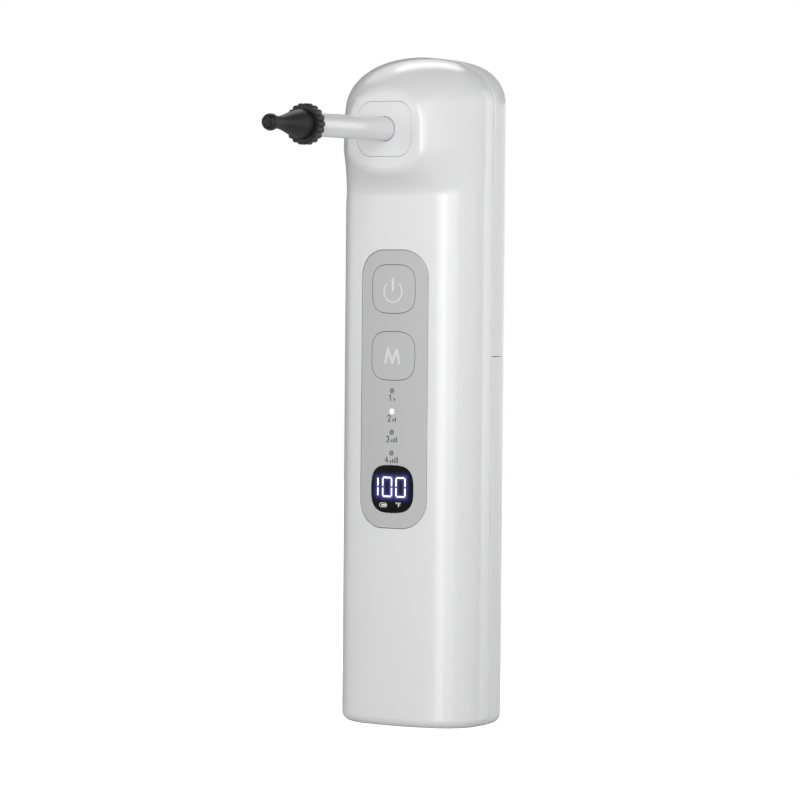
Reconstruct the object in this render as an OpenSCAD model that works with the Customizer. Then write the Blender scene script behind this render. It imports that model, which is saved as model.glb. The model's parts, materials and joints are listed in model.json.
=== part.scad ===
// Cordless ear irrigator: a tall rounded housing with a removable water tank behind,
// a gear pump in the head, and a nozzle arm with a soft tip in front.
// Millimetres. Origin at the centre of the base, front towards -Y, Z up.

/* [Housing] */
// Overall height of the housing
body_h = 210; // [200:1:230]
// Overall width of the housing
body_w = 49; // [47:0.5:56]
// Depth of the front half, from the widest line forwards
front_d = 15.5; // [15:0.1:18]
// Depth of the rear half, from the widest line backwards
rear_d = 24.7; // [24:0.1:30]
// Distance of the widest line in front of the parting plane
widest_y = 4.6; // [4.2:0.1:5]
// Squareness of the front half of the section (2 is an ellipse)
front_n = 2.44; // [2.3:0.02:3]
// Squareness of the rear half of the section
rear_n = 2.9; // [2.5:0.05:3.4]
// Wall thickness of the housing
wall = 2; // [1.6:0.1:2.4]
// Rounding of the bottom edge
base_r = 2.9; // [1:0.1:4]
// Height over which the top rounds off on the sides and on the back
dome_side_h = 15.3; // [14.5:0.1:17]
dome_rear_h = 8.9; // [8:0.1:10]
// Squareness of that rounding on the sides and on the back
dome_side_n = 2.15; // [2:0.01:2.4]
dome_rear_n = 4; // [3.2:0.1:4.4]
// Width of the visible parting gaps
seam_gap = 0.3; // [0.2:0.05:0.5]
// Distance from the top down to the seam between the tank and the rear cover
tank_seam_drop = 93.8; // [92:0.2:98]

/* [Head] */
// Distance from the top down to where the front starts to swell into the head
head_drop0 = 44; // [42:0.5:47]
// Distance from the top down to where the head has its full depth
head_drop1 = 29; // [28:0.5:30]
// Depth of the front half at the head, before the flat of the nozzle seat cuts it
head_d = 26.8; // [26:0.1:27.6]
// Squareness of the front half at the head
head_n = 1.73; // [1.68:0.01:1.85]
// Height over which the top rounds off on the front, and the squareness of that rounding
dome_front_h = 22.4; // [21.4:0.2:23.4]
dome_front_n = 1.75; // [1.7:0.05:1.9]
// Softness of the edge between the flat of the nozzle seat and the head around it
seat_blend = 1.6; // [0.8:0.1:2]
// Distance from the widest line forwards to the flat nozzle seat
seat_d = 21.3; // [20.8:0.1:21.8]
// Distance from the top down to the nozzle axis
nozzle_drop = 23.1; // [21:0.1:26]
// Width and height of the nozzle seat plate
seat_w = 19.6; // [17:0.2:21]
seat_h = 17; // [15:0.2:19]
// Corner radius of the nozzle seat plate
seat_r = 5; // [3:0.2:7]
// Thickness of the nozzle seat plate
seat_t = 2; // [1.5:0.1:2.4]

/* [Control panel] */
// Width of the panel
panel_w = 24.2; // [22:0.2:26]
// Bottom and top of the panel
panel_z0 = 62.4; // [60:0.1:64]
panel_z1 = 149.3; // [147:0.1:151]
// Corner radius of the panel
panel_corner = 8.5; // [6:0.1:11]
// Radius of the panel's curved face, about an upright axis
panel_r = 55; // [45:1:80]
// Clearance around the panel and everything set in it
panel_gap = 0.2; // [0.1:0.02:0.3]
// Width and height of each button
button_w = 15.7; // [14:0.1:16.5]
button_h = 15.1; // [13.5:0.1:16]
// Corner radius of the buttons
button_r = 5.2; // [3:0.1:6.5]
// Distance from the panel's top down to the power button's middle
power_drop = 12.1; // [11:0.1:13]
// Distance from the power button down to the mode button
button_pitch = 20.9; // [19:0.1:21.2]
// Travel of the buttons
button_travel = 0.6; // [0.4:0.05:0.8]
// Width and height of the display window
display_w = 15.3; // [14:0.1:16.5]
display_h = 14.7; // [13:0.1:15.5]
// Corner radius of the display window
display_r = 5.2; // [3:0.1:6]
// Distance from the panel's bottom up to the middle of the display window
display_rise = 12.2; // [11:0.1:13]
// Distance from there up to the lowest indicator light, and the pitch between the lights
led_rise = 11.3; // [10.5:0.1:12]
led_pitch = 6.5; // [6:0.1:6.7]
// Number and radius of the indicator lights
led_count = 4; // [2:1:4]
led_r = 0.8; // [0.6:0.05:1]

/* [Nozzle] */
// Radius of the arm at the seat and at the tip
arm_r0 = 3.75; // [3.6:0.05:4]
arm_r1 = 3.5; // [3.4:0.05:3.55]
// Length of the arm from the seat to the collar
arm_len = 42.9; // [30:0.1:60]
// Radius of the spigot that plugs into the housing, and its length
spigot_r = 3.3; // [3.1:0.05:3.4]
spigot_len = 14; // [11:0.5:16]
// Radius of the water channel in the arm
channel_r = 1.2; // [0.8:0.1:1.5]
// Running clearance between the spigot and its socket
spigot_gap = 0.08; // [0.03:0.01:0.1]
// Radius over the collar's knobs, number of knobs and collar length
collar_r = 6.3; // [6:0.1:7]
collar_knobs = 18; // [14:1:24]
collar_len = 3.4; // [3:0.1:5]
// Radius of the soft tip at its base, neck and bulb
tip_base_r = 4.45; // [4.2:0.05:4.8]
tip_neck_r = 1.88; // [1.6:0.02:2.1]
tip_bulb_r = 2.6; // [2.3:0.05:2.8]
// Length of the soft tip in front of the collar
tip_len = 19.1; // [16:0.1:24]
// Radius of the three jet holes and of their circle
jet_r = 0.25; // [0.2:0.05:0.4]
jet_circle_r = 1.05; // [0.8:0.05:1.2]

/* [Water tank] */
// Wall thickness of the tank
tank_wall = 1.8; // [1.5:0.1:2.2]
// Width and height of the filling mouth
mouth_w = 14; // [12:0.5:16]
mouth_h = 12; // [10:0.5:13]
// Distance from the tank's seam down to the middle of the filling mouth
mouth_drop = 20.2; // [19.2:0.2:22]
// Width and height of the filling lid
lid_w = 21.4; // [20:0.2:23]
lid_h = 19; // [18:0.2:20]
// Thickness of the filling lid
lid_t = 1.3; // [1.1:0.1:1.5]
// Radius of the lid's hinge pin
lid_pin_r = 0.75; // [0.6:0.05:0.8]
// Place and radius of the docking spigot that draws the water
dock_x = 17; // [16:0.5:17.5]
dock_z = 13; // [12:0.5:16]
dock_r = 2; // [1.8:0.1:2.1]

/* [Power] */
// Radius and length of the battery cell
cell_r = 7; // [6.5:0.1:7.1]
cell_len = 48; // [42:0.5:48.2]
// Height of the charging socket
port_z = 24; // [22:0.5:27]

/* [Pump] */
// Gear module, teeth on each pump gear and width of the gears
gear_m = 0.8; // [0.7:0.05:0.85]
gear_teeth = 12; // [11:1:12]
gear_w = 7.8; // [6:0.2:8]
// Radius and length of the motor can
motor_r = 10; // [9:0.5:10.5]
motor_len = 25; // [20:0.5:28]
// Thickness across the motor's flats
motor_flat = 15.1; // [14:0.1:15.5]
// Radius of the motor and gear shafts
shaft_r = 1.5; // [1:0.1:1.6]
// Outer and inner radius of the silicone tubes
tube_r = 2; // [1.8:0.1:2.1]
tube_bore_r = 1.1; // [0.8:0.1:1.3]

/* [Hidden] */

eps = 0.01;
big = 400;
half_w = body_w / 2;
half_gap = seam_gap / 2;
front_y = -widest_y - front_d;       // foremost line of the plain housing
rear_y = rear_d - widest_y;          // rearmost line of the housing
seat_y = -widest_y - seat_d;         // plane of the nozzle seat
tank_seam_z = body_h - tank_seam_drop;
head_z0 = body_h - head_drop0;
head_z1 = body_h - head_drop1;
nozzle_z = body_h - nozzle_drop;
section_steps = 56;
head_lead = 2.7;                     // the head narrows a little before it deepens
crown_min = 0.1;                     // leaves a small flat at the very top
fit_gap = 0.05;                      // radial clearance of a shaft in its bore
piece_gap = 0.3;                     // clearance between pieces on different bodies

// Screws: head radius, head height, shank radius and length under the head
frame_screw = [1.9, 1.2, 0.8, 8];
cover_screw = [1.8, 1.3, 0.8, 7.4];
board_screw = [1.5, 0.9, 0.65, 3.2];
charge_screw = [1.4, 0.8, 0.55, 4];
pump_screw_head_r = 1.9;
pump_screw_head_h = 1.2;
pump_screw_r = 1;
head_gap = 0.1;                      // radial clearance of a sunk screw head
shank_gap = 0.3;                     // radial clearance of a shank in its through hole

// ---- Housing form: superellipse sections stacked along Z ----

function smooth(t) = let (c = min(1, max(0, t))) c * c * (3 - 2 * c);
function fillet(rise, r) = rise <= 0 ? 0 : r - sqrt(max(0, r * r - rise * rise));
// Share of the width left at height z where the top rounds off over height h
function crown(z, h, n) = let (u = min(1, max(0, z - body_h + h) / h))
    max(crown_min, pow(1 - pow(u, n), 1 / n));
// The lesser of two values, rounded over where they meet within k
function soft_min(a, b, k) = let (h = min(1, max(0, 0.5 + 0.5 * (b - a) / k)))
    h * a + (1 - h) * b - k * h * (1 - h);
function spow(v, p) = sign(v) * pow(abs(v), p);

// One ring of the section at height z, moved in by cut
function ring(z, cut) = let (
        swell = smooth((z - head_z0) / (head_z1 - head_z0)),
        n_front = front_n + (head_n - front_n) * smooth((z - head_z0 + head_lead) / (head_z1 - head_z0)),
        inset = fillet(base_r - z, base_r) + cut,
        a = half_w * crown(z, dome_side_h, dome_side_n) - inset,
        f = (front_d + (head_d - front_d) * swell) * crown(z, dome_front_h, dome_front_n) - inset,
        r = rear_d * crown(z, dome_rear_h, dome_rear_n) - inset)
    [for (i = [0:section_steps - 1]) let (
            t = 360 * i / section_steps,
            front = sin(t) < 0,
            p = 2 / (front ? n_front : rear_n),
            d = (front ? f : r) * pow(abs(sin(t)), p))
        [a * spow(cos(t), p), -widest_y + (front ? -soft_min(d, seat_d - cut, seat_blend) : d), z]];

// Ring heights: dense in the rounded parts, none along the straight part
function base_heights(cut, steps) =
    [for (i = [0:steps]) cut + (base_r - cut * 0.5) * (1 - cos(90 * i / steps))];
function head_heights(steps) =
    [for (i = [0:2 * steps]) head_z0 - 3 + (head_z1 - head_z0 + 4) * i / (2 * steps)];
function dome_heights(cut, steps, h) =
    [for (i = [1:2 * steps]) body_h - h + (h - cut) * sin(45 * i / steps)];

// Closed solid through a stack of rings
module loft(rings) {
    m = len(rings[0]);
    k = len(rings);
    points = [for (r = rings) each r];
    faces = concat(
        [[for (i = [0:m - 1]) i]],
        [for (j = [0:k - 2], i = [0:m - 1])
            let (a = j * m + i, b = j * m + (i + 1) % m) each [[a, a + m, b], [b, a + m, b + m]]],
        [[for (i = [m - 1:-1:0]) (k - 1) * m + i]]);
    polyhedron(points, faces);
}

// The whole housing, moved in by cut
module housing_form(cut, steps) {
    loft([for (z = concat(base_heights(cut, steps), head_heights(steps),
        dome_heights(cut, steps, dome_front_h))) ring(z, cut)]);
}
// Its straight lower part, up to the given height
module lower_form(cut, steps, top) {
    loft([for (z = concat(base_heights(cut, steps), [top])) ring(z, cut)]);
}
// Its upper part from the given height; only the rear half of this one is used
module upper_form(cut, steps, low) {
    loft([for (z = concat([low, body_h - dome_side_h], dome_heights(cut, steps, dome_side_h)))
        ring(z, cut)]);
}

// ---- Small building blocks ----

// Cylinder along -Y, its near end at y
module rod_y(x, y, z, r, len) {
    translate([x, y, z]) rotate([90, 0, 0]) cylinder(r=r, h=len, $fn=48);
}
// Cylinder along +X, its near end at x
module rod_x(x, y, z, r, len) {
    translate([x, y, z]) rotate([0, 90, 0]) cylinder(r=r, h=len, $fn=48);
}
module rod_z(x, y, z, r, len) {
    translate([x, y, z]) cylinder(r=r, h=len, $fn=48);
}
// Rounded rectangle from two crossing squares and four corner circles
module rounded(w, h, r) {
    square([w, h - 2 * r], center=true);
    square([w - 2 * r, h], center=true);
    for (sx = [-1, 1], sz = [-1, 1])
        translate([sx * (w / 2 - r), sz * (h / 2 - r)]) circle(r=r, $fn=64);
}
// Rounded rectangle facing the front, from y back by len
module plate_y(w, h, r, y, z, len) {
    translate([0, y + len, z]) rotate([90, 0, 0]) linear_extrude(len) rounded(w, h, r);
}
module box(x0, y0, z0, x1, y1, z1) {
    translate([x0, y0, z0]) cube([x1 - x0, y1 - y0, z1 - z0]);
}
// Cross-slotted screw along Y with its head at y and its shank running to -Y
module screw_y(x, y, z, size) {
    head_r = size[0];
    head_h = size[1];
    difference() {
        union() {
            rod_y(x, y + head_h, z, head_r, head_h);
            rod_y(x, y + eps, z, size[2], size[3] + eps);
        }
        for (a = [0, 90])
            translate([x, y + head_h, z]) rotate([0, a, 0])
                cube([head_r * 1.1, head_h * 0.9, head_r * 0.28], center=true);
    }
}
// Through holes for such a screw: its shank, and room for its head from y on
module screw_holes_y(x, y, z, size) {
    rod_y(x, y + eps, z, size[2] + shank_gap, big / 4);
    rod_y(x, y + big / 4, z, size[0] + head_gap, big / 4);
}
module pilot_y(x, y, z, size, len) {
    rod_y(x, y, z, size[2] + fit_gap, len);
}
// Routed tube: rings carried along a rounded polyline
function unit(v) = v / norm(v);
function bend(p, r, steps) = [for (i = [0:len(p) - 1]) each
    (i == 0 || i == len(p) - 1) ? [p[i]] : let (
            d0 = unit(p[i - 1] - p[i]), d1 = unit(p[i + 1] - p[i]),
            a = p[i] + d0 * r, b = p[i] + d1 * r)
        [for (s = [0:steps]) let (t = s / steps)
            (1 - t) * (1 - t) * a + 2 * t * (1 - t) * p[i] + t * t * b]];
function tangent(p, i) = unit(p[min(i + 1, len(p) - 1)] - p[max(i - 1, 0)]);
function carried(p, i, n) = let (t = tangent(p, i), q = unit(n - t * (n * t)))
    i == len(p) - 1 ? [q] : concat([q], carried(p, i + 1, q));
module swept(p, start_n, r, sides) {
    n = carried(p, 0, start_n);
    loft([for (i = [0:len(p) - 1]) let (t = tangent(p, i), u = n[i], v = cross(t, u))
        [for (k = [0:sides - 1]) let (a = 360 * k / sides)
            p[i] + r * (cos(a) * u + sin(a) * v)]]);
}
module tube(route, start_n, bend_r) {
    p = bend(route, bend_r, 4);
    difference() {
        swept(p, start_n, tube_r, 12);
        // the bore runs out through both ends
        swept(concat([p[0] + unit(p[0] - p[1]) * eps], [for (i = [1:len(p) - 2]) p[i]],
            [p[len(p) - 1] + unit(p[len(p) - 1] - p[len(p) - 2]) * eps]),
            start_n, tube_bore_r, 12);
    }
}

// ---- Control panel values ----

panel_y = front_y;                             // panel face on the middle line
panel_back_y = front_y + 2.9;
power_z = panel_z1 - power_drop;
mode_z = power_z - button_pitch;
display_z = panel_z0 + display_rise;
led_z0 = display_z + led_rise;
seat_pad_t = 1.6;                              // shell ledge that the panel rests on
pad_back_y = panel_back_y + seat_pad_t;
board_t = 1.2;
board_y = pad_back_y + 2.3;                    // front face of the main board
board_half_w = 11;
board_z0 = panel_z0 - 1;
board_z1 = panel_z1 + 0.7;
board_screw_x = 8.6;
board_screw_zs = [board_z0 + 3, (power_z + mode_z) / 2];
button_zs = [power_z, mode_z];
cap_back_y = panel_back_y - button_travel - piece_gap;
flange_t = 0.6;                                // rim that keeps a button behind the panel
flange_w = 0.7;
plunger_r = 1.5;
switch_w = 6;
switch_t = 1.7;
panel_mid_z = (panel_z0 + panel_z1) / 2;
panel_h = panel_z1 - panel_z0;

// Everything behind the curved face of the panel
module panel_face() {
    translate([0, panel_y + panel_r, 0]) cylinder(r=panel_r, h=body_h, $fn=360);
}
module button_plate(grow, z, y, len) {
    plate_y(button_w + 2 * grow, button_h + 2 * grow, button_r + grow, y, z, len);
}
module light_holes(r, y, len) {
    for (i = [0:led_count - 1]) rod_y(0, y + len, led_z0 + i * led_pitch, r, len);
}

// ---- Tube values ----

barb_r = tube_bore_r - fit_gap;
barb_bore_r = barb_r - 0.5;
barb_len = 2.2;

// ---- Inner frame values ----

frame_back_y = -half_gap;
frame_t = 2;
frame_front_y = frame_back_y - frame_t;
shelf_z = tank_seam_z + 7.8;                   // underside of the pump shelf
shelf_t = 2;
frame_boss_x = 14.5;
frame_boss_zs = [7, shelf_z - 16];
frame_boss_r = 2.4;
frame_screw_y = frame_back_y - 1.3;            // under the screw heads
partition_t = 3;
partition_z = tank_seam_z + half_gap;          // underside of the rear cover
cover_screw_z = partition_z + 1.5;             // upper face of the cover screws' heads
post_x = 13;
post_y = 9;
post_r = 3;
shelf_half_w = 18;
shelf_front_y = -11;
shelf_back_y = 12.6;

// ---- Pump values ----

pump_y = 4;                                    // plane between the two gears
gear_pitch_r = gear_m * gear_teeth / 2;
gear_tip_r = gear_pitch_r + gear_m * 0.95;
gear_root_r = gear_pitch_r - gear_m * 1.2;
pressure = 25;
gear_base_r = gear_pitch_r * cos(pressure);
backlash = 0.1;
chamber_gap = 0.1;
chamber_r = gear_tip_r + chamber_gap;
drive_y = pump_y + gear_pitch_r;
idler_y = pump_y - gear_pitch_r;
pump_z0 = shelf_z + shelf_t;
pump_floor = 4;
chamber_z0 = pump_z0 + pump_floor;
chamber_h = gear_w + 0.2;
pump_z1 = chamber_z0 + chamber_h;
pump_cover_t = 4;
motor_z0 = pump_z1 + pump_cover_t;
motor_z1 = motor_z0 + motor_len;
end_cap_t = 2.6;
pump_half_w = 9;
pump_wall = 2.6;
pump_front_y = idler_y - chamber_r - pump_wall;
pump_back_y = drive_y + chamber_r + pump_wall - 1.3;
pump_port_z = chamber_z0 + chamber_h / 2;
pump_port_x = pump_half_w + 2.5;
pump_screw_z = motor_z0 - 1.4;                 // underside of the pump screws' heads
pump_screw_end_z = shelf_z + 0.4;
screw_pump_x = 6.6;
screw_pump_ys = [pump_front_y + 2.2, pump_back_y - 2.2];

heater_r = 3.6;
heater_x = -(half_w - wall - heater_r - 1.9);
heater_z0 = pump_port_z + 7;
heater_z1 = nozzle_z - 13.9;                   // leaves room for the delivery tube's bend
tube_x = half_w - wall - tube_r - 1.2;         // suction tube on its way up
tube_y = -9.5;
lead_r = 0.6;
lead_y = board_y + board_t + lead_r + 0.02;    // leads lie on the back of the main board

// ---- Nozzle values ----

socket_bore_r = spigot_r + spigot_gap;
socket_r = 5.6;
socket_front_y = seat_y + seat_t;
socket_back_y = seat_y + spigot_len + 3.5;
collar_y = seat_y - arm_len;                   // rear face of the knurled collar
tip_y = collar_y - collar_len;                 // where the soft tip leaves the collar
knob_depth = 0.55;
nipple_r = 2.2;
nipple_len = 6.5;
tip_flange_r = 4.9;
arm_flange_t = 1.1;
collar_lip_t = 0.9;
tip_flange_t = collar_len - collar_lip_t - arm_flange_t - 0.2;
tip_flange_z = arm_flange_t + 0.1;             // in front of the collar's rear face
o_ring_cord_r = 0.6;
o_ring_r = spigot_r + spigot_gap - 0.02 - o_ring_cord_r;
o_ring_ys = [seat_y + spigot_len - 3, seat_y + spigot_len - 6];

// ---- Tank values ----

tank_front_y = half_gap;
tank_top_z = tank_seam_z - half_gap;
tank_in_front_y = tank_front_y + tank_wall;
lid_r = 72;                                    // radius of the lid's curved face
lid_pin_y = rear_y - 1.75;
mouth_z = tank_seam_z - mouth_drop;
lid_pin_z = mouth_z + mouth_h / 2 + 5.2;
knuckle_r = 1.35;
lid_z1 = lid_pin_z - 2.2;                      // upper edge of the full width of the lid
lid_mid_z = lid_z1 - lid_h / 2;
lid_in_y = rear_y - lid_t;
pocket_gap = 0.35;
pocket_y = lid_in_y - pocket_gap;
knuckle_w = 12;
lid_pad_y = pocket_y - 3.2;
lug_y = lid_pin_y + 0.95;                      // outer face of the hinge lugs
lid_corner = 2.5;
plug_gap = 0.35;
plug_len = 2.4;
tongue_w = 16;                                 // tongue of the front shell under the tank
tongue_y = 3.5;
tongue_t = 1.6;
dock_tip_y = 5.2;
dock_seal_r = 2.45;
dock_bore_r = 2.5;
dock_boss_r = 4.2;
dock_boss_y = 9;
valve_flange_t = 0.8;
dock_shoulder = 0.6;
dock_flange_t = 1.2;

// ---- Power values ----

cell_x = 5.4;
cell_y = frame_front_y - cell_r - 0.5;
cradle_wall = 1.2;
contact_t = 0.5;
contact_w = 6;
contact_gap = 0.2;                             // between the cell and each contact
cell_z0 = board_z0 - contact_t - contact_gap - cradle_wall - cell_len;
port_y = -5.2;
usb_w = 8.94;
usb_t = 3.2;
usb_len = 7.4;
usb_wall = 0.3;
usb_x0 = -half_w + 1.5;
charge_board_t = 1.2;
charge_board_y = port_y - usb_t / 2 - charge_board_t;
charge_board_x0 = -half_w + 4.2;
charge_post_xs = [-12, -5];
flap_w = 6.4;
flap_z0 = port_z - 7.4;
flap_z1 = port_z + 6.4;
flap_t = 1;
flap_x = -half_w + 0.4;                        // outer face of the port cover
flap_barrel_r = 0.6;
flap_pin_z = flap_z0 + flap_barrel_r;
flap_pin_x = flap_x + flap_barrel_r;
port_pad_t = 1.9;

// ---- Casings ----

module front_shell() {
    color("white") {
        front_casing();
        // locating tongue under the tank
        box(-tongue_w / 2, -wall - 1, 0, tongue_w / 2, tongue_y, tongue_t);
    }
}

module front_casing() {
    difference() {
        union() {
            difference() {
                housing_form(0, 7);
                housing_form(wall, 5);
            }
            intersection() {
                housing_form(0.4, 4);
                union() {
                    // ledge behind the panel
                    box(-panel_w / 2 - 2.5, front_y, panel_z0 - 2.5,
                        panel_w / 2 + 2.5, pad_back_y, panel_z1 + 2.5);
                    // ring behind the nozzle seat
                    box(-seat_w / 2 - 1.5, seat_y, nozzle_z - seat_h / 2 - 1.5,
                        seat_w / 2 + 1.5, seat_y + seat_t + 2, nozzle_z + seat_h / 2 + 1.5);
                    // pad around the charging port
                    box(-half_w, port_y - flap_w / 2 - 1.2, flap_z0 - 1.2,
                        -half_w + wall + port_pad_t, frame_front_y - 0.2, flap_z1 + 1.2);
                    for (sx = [-1, 1], z = frame_boss_zs)
                        rod_y(sx * frame_boss_x, frame_front_y, z, frame_boss_r,
                            frame_front_y - front_y);
                }
            }
            for (sx = [-1, 1], z = board_screw_zs)
                rod_y(sx * board_screw_x, board_y, z, 1.7, board_y - pad_back_y + eps);
        }
        // rear half is the tank and the rear cover
        translate([-big / 2, -half_gap, -1]) cube([big, big, body_h + 2]);
        // panel recess, and the openings through its ledge
        plate_y(panel_w + 2 * panel_gap, panel_h + 2 * panel_gap, panel_corner + panel_gap,
            panel_back_y - 20, panel_mid_z, 20);
        for (z = button_zs)
            plate_y(button_w - 1, button_h - 1, button_r - 0.5, panel_back_y - 1, z, seat_pad_t + 2);
        plate_y(display_w - 1, display_h - 1, display_r - 0.5, panel_back_y - 1, display_z,
            seat_pad_t + 2);
        light_holes(led_r + 0.1, panel_back_y - 1, seat_pad_t + 2);
        // nozzle seat pocket and socket hole
        plate_y(seat_w + 2 * panel_gap, seat_h + 2 * panel_gap, seat_r + panel_gap, seat_y - 20,
            nozzle_z, 20 + seat_t);
        rod_y(0, seat_y + seat_t + 3, nozzle_z, socket_r + fit_gap, 4);
        // charging port, its flap pocket and the flap's hinge groove
        for (dz = [-1, 1])
            rod_x(-half_w - 1, port_y, port_z + dz * (usb_w - usb_t) / 2, usb_t / 2 + 0.2,
                wall + port_pad_t + 2);
        box(-half_w - 1, port_y - usb_t / 2 - 0.2, port_z - (usb_w - usb_t) / 2,
            -half_w + wall + port_pad_t + 1, port_y + usb_t / 2 + 0.2,
            port_z + (usb_w - usb_t) / 2);
        box(-half_w - 1, port_y - flap_w / 2 - piece_gap, flap_z0 - piece_gap,
            flap_x + flap_t + piece_gap, port_y + flap_w / 2 + piece_gap,
            flap_z1 + piece_gap);
        // pilot holes
        for (sx = [-1, 1], z = frame_boss_zs)
            pilot_y(sx * frame_boss_x, 0, z, frame_screw, frame_screw[3] + 4);
        for (sx = [-1, 1], z = board_screw_zs)
            pilot_y(sx * board_screw_x, 0, z, board_screw, -pad_back_y);
    }
}

module rear_cover() {
    color("white") difference() {
        upper_form(0, 8, partition_z);
        upper_form(wall, 6, partition_z + partition_t);
        translate([-big / 2, half_gap - big, -1]) cube([big, big, body_h + 2]);
        // countersunk holes of the two cover screws
        for (sx = [-1, 1]) {
            rod_z(sx * post_x, post_y, partition_z - 1, cover_screw[0] + head_gap,
                cover_screw_z - partition_z + 1);
            rod_z(sx * post_x, post_y, partition_z - 1, cover_screw[2] + shank_gap,
                partition_t + 2);
        }
    }
}

// Bulkhead behind the electronics with the shelf that carries the pump
module inner_frame() {
    color("lightgrey") difference() {
        union() {
            intersection() {
                lower_form(wall + 0.3, 2, shelf_z + eps);
                box(-big / 2, frame_front_y, 0, big / 2, frame_back_y, body_h);
            }
            box(-shelf_half_w, shelf_front_y, shelf_z, shelf_half_w, shelf_back_y, pump_z0);
            box(-pump_half_w, shelf_front_y, shelf_z, pump_half_w, pump_back_y, pump_z0);
            for (sx = [-1, 1]) {
                rod_z(sx * post_x, post_y, partition_z + partition_t, post_r,
                    shelf_z - partition_z - partition_t + eps);
            }
            for (x = charge_post_xs)
                rod_y(x, frame_front_y + eps, port_z, 1.8,
                    frame_front_y - charge_board_y - charge_board_t + eps);
        }
        for (sx = [-1, 1], z = frame_boss_zs)
            screw_holes_y(sx * frame_boss_x, frame_screw_y, z, frame_screw);
        for (sx = [-1, 1]) rod_z(sx * post_x, post_y, partition_z, cover_screw[2] + fit_gap, 10);
        for (x = charge_post_xs) pilot_y(x, frame_front_y - 1, port_z, charge_screw, 5);
        for (sx = [-1, 1], y = screw_pump_ys)
            rod_z(sx * screw_pump_x, y, shelf_z - 1, pump_screw_r + fit_gap, shelf_t + 2);
        // dock hole, and slots for the suction tube and the leads
        rod_y(dock_x, 1, dock_z, dock_r + dock_shoulder + fit_gap, 5);
        box(shelf_half_w - 2 * tube_r - 1.5, shelf_front_y - 1, shelf_z - 1,
            shelf_half_w + 1, pump_y - 6, pump_z0 + 1);
        box(-6, shelf_front_y - 1, shelf_z - 1, 0, shelf_front_y + 2.5, pump_z0 + 1);
    }
}

module frame_screws() {
    color("silver") for (sx = [-1, 1], z = frame_boss_zs)
        screw_y(sx * frame_boss_x, frame_screw_y, z, frame_screw);
}

module cover_screws() {
    color("silver") for (sx = [-1, 1]) translate([sx * post_x, post_y, cover_screw_z]) {
        rod_z(0, 0, -cover_screw[1], cover_screw[0], cover_screw[1]);
        rod_z(0, 0, -eps, cover_screw[2], cover_screw[3]);
    }
}

// ---- Control panel and electronics ----

module control_panel() {
    color("gainsboro") difference() {
        intersection() {
            plate_y(panel_w, panel_h, panel_corner, front_y - 1, panel_mid_z,
                panel_back_y - front_y + 1 - fit_gap);
            panel_face();
        }
        for (z = button_zs) {
            button_plate(panel_gap, z, front_y - 1, 6);
            button_plate(panel_gap + flange_w, z, cap_back_y - flange_t - 0.1, 6);
        }
        plate_y(display_w + 2 * panel_gap, display_h + 2 * panel_gap, display_r + panel_gap,
            front_y - 1, display_z, 6);
        light_holes(led_r + fit_gap, front_y - 1, 6);
    }
}

// Cap flush with the panel and the stem that reaches the switch plunger
module button(z) {
    color("gainsboro") {
        intersection() {
            button_plate(0, z, front_y - 1, cap_back_y - front_y + 1);
            panel_face();
        }
        button_plate(flange_w, z, cap_back_y - flange_t, flange_t);
        rod_y(0, board_y - switch_t - 0.9, z, plunger_r + 0.6,
            board_y - switch_t - 0.9 - cap_back_y + eps);
    }
}
module power_button() { button(power_z); }
module mode_button() { button(mode_z); }

module switch_plunger(z) {
    color("black") rod_y(0, board_y - 0.8, z, plunger_r, switch_t + 0.1);
}
module power_switch_plunger() { switch_plunger(power_z); }
module mode_switch_plunger() { switch_plunger(mode_z); }

module switch_housings() {
    color("dimgray") for (z = button_zs) difference() {
        box(-switch_w / 2, board_y - switch_t, z - switch_w / 2, switch_w / 2, board_y,
            z + switch_w / 2);
        rod_y(0, board_y + eps, z, plunger_r + fit_gap * 2, 4);
    }
}

module light_guides() {
    color("white") intersection() {
        light_holes(led_r, panel_y, board_y - 1 - panel_y);
        panel_face();
    }
}

module indicator_leds() {
    color("khaki") for (i = [0:led_count - 1])
        translate([0, board_y - 0.4, led_z0 + i * led_pitch]) cube([1.6, 0.8, 0.8], center=true);
}

module display_lens() {
    color("black") intersection() {
        plate_y(display_w, display_h, display_r, front_y - 1, display_z, 2.4);
        panel_face();
    }
}

module display_module() {
    color("dimgray") plate_y(display_w - 1.6, display_h - 1.6, display_r - 0.8, front_y + 1.6,
        display_z, board_y - front_y - 1.6);
}

module main_board() {
    color("darkgreen") difference() {
        box(-board_half_w, board_y, board_z0, board_half_w, board_y + board_t, board_z1);
        for (sx = [-1, 1], z = board_screw_zs)
            rod_y(sx * board_screw_x, 0, z, board_screw[2] + 0.2, 20);
    }
}

module board_screws() {
    color("silver") for (sx = [-1, 1], z = board_screw_zs)
        screw_y(sx * board_screw_x, board_y + board_t, z, board_screw);
}

// ---- Battery and charging ----

module battery_cell() {
    color("steelblue") {
        rod_z(cell_x, cell_y, cell_z0, cell_r, cell_len - 1);
        rod_z(cell_x, cell_y, cell_z0 + cell_len - 1 - eps, 2.6, 1 + eps);
    }
}

// Half round trough fixed to the bulkhead, open to the front
module battery_cradle() {
    color("dimgray") difference() {
        box(cell_x - cell_r - cradle_wall, cell_y + 2, cell_z0 - contact_gap - contact_t
            - cradle_wall, cell_x + cell_r + cradle_wall, frame_front_y, board_z0);
        rod_z(cell_x, cell_y, cell_z0 - contact_gap - contact_t, cell_r + fit_gap,
            cell_len + 2 * (contact_gap + contact_t));
    }
}

module battery_contacts() {
    color("gold") {
        for (z = [cell_z0 - contact_gap - contact_t, cell_z0 + cell_len + contact_gap])
            box(cell_x - contact_w / 2, cell_y - 2, z, cell_x + contact_w / 2,
                cell_y + cell_r - 1.5, z + contact_t);
    }
}

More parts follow.
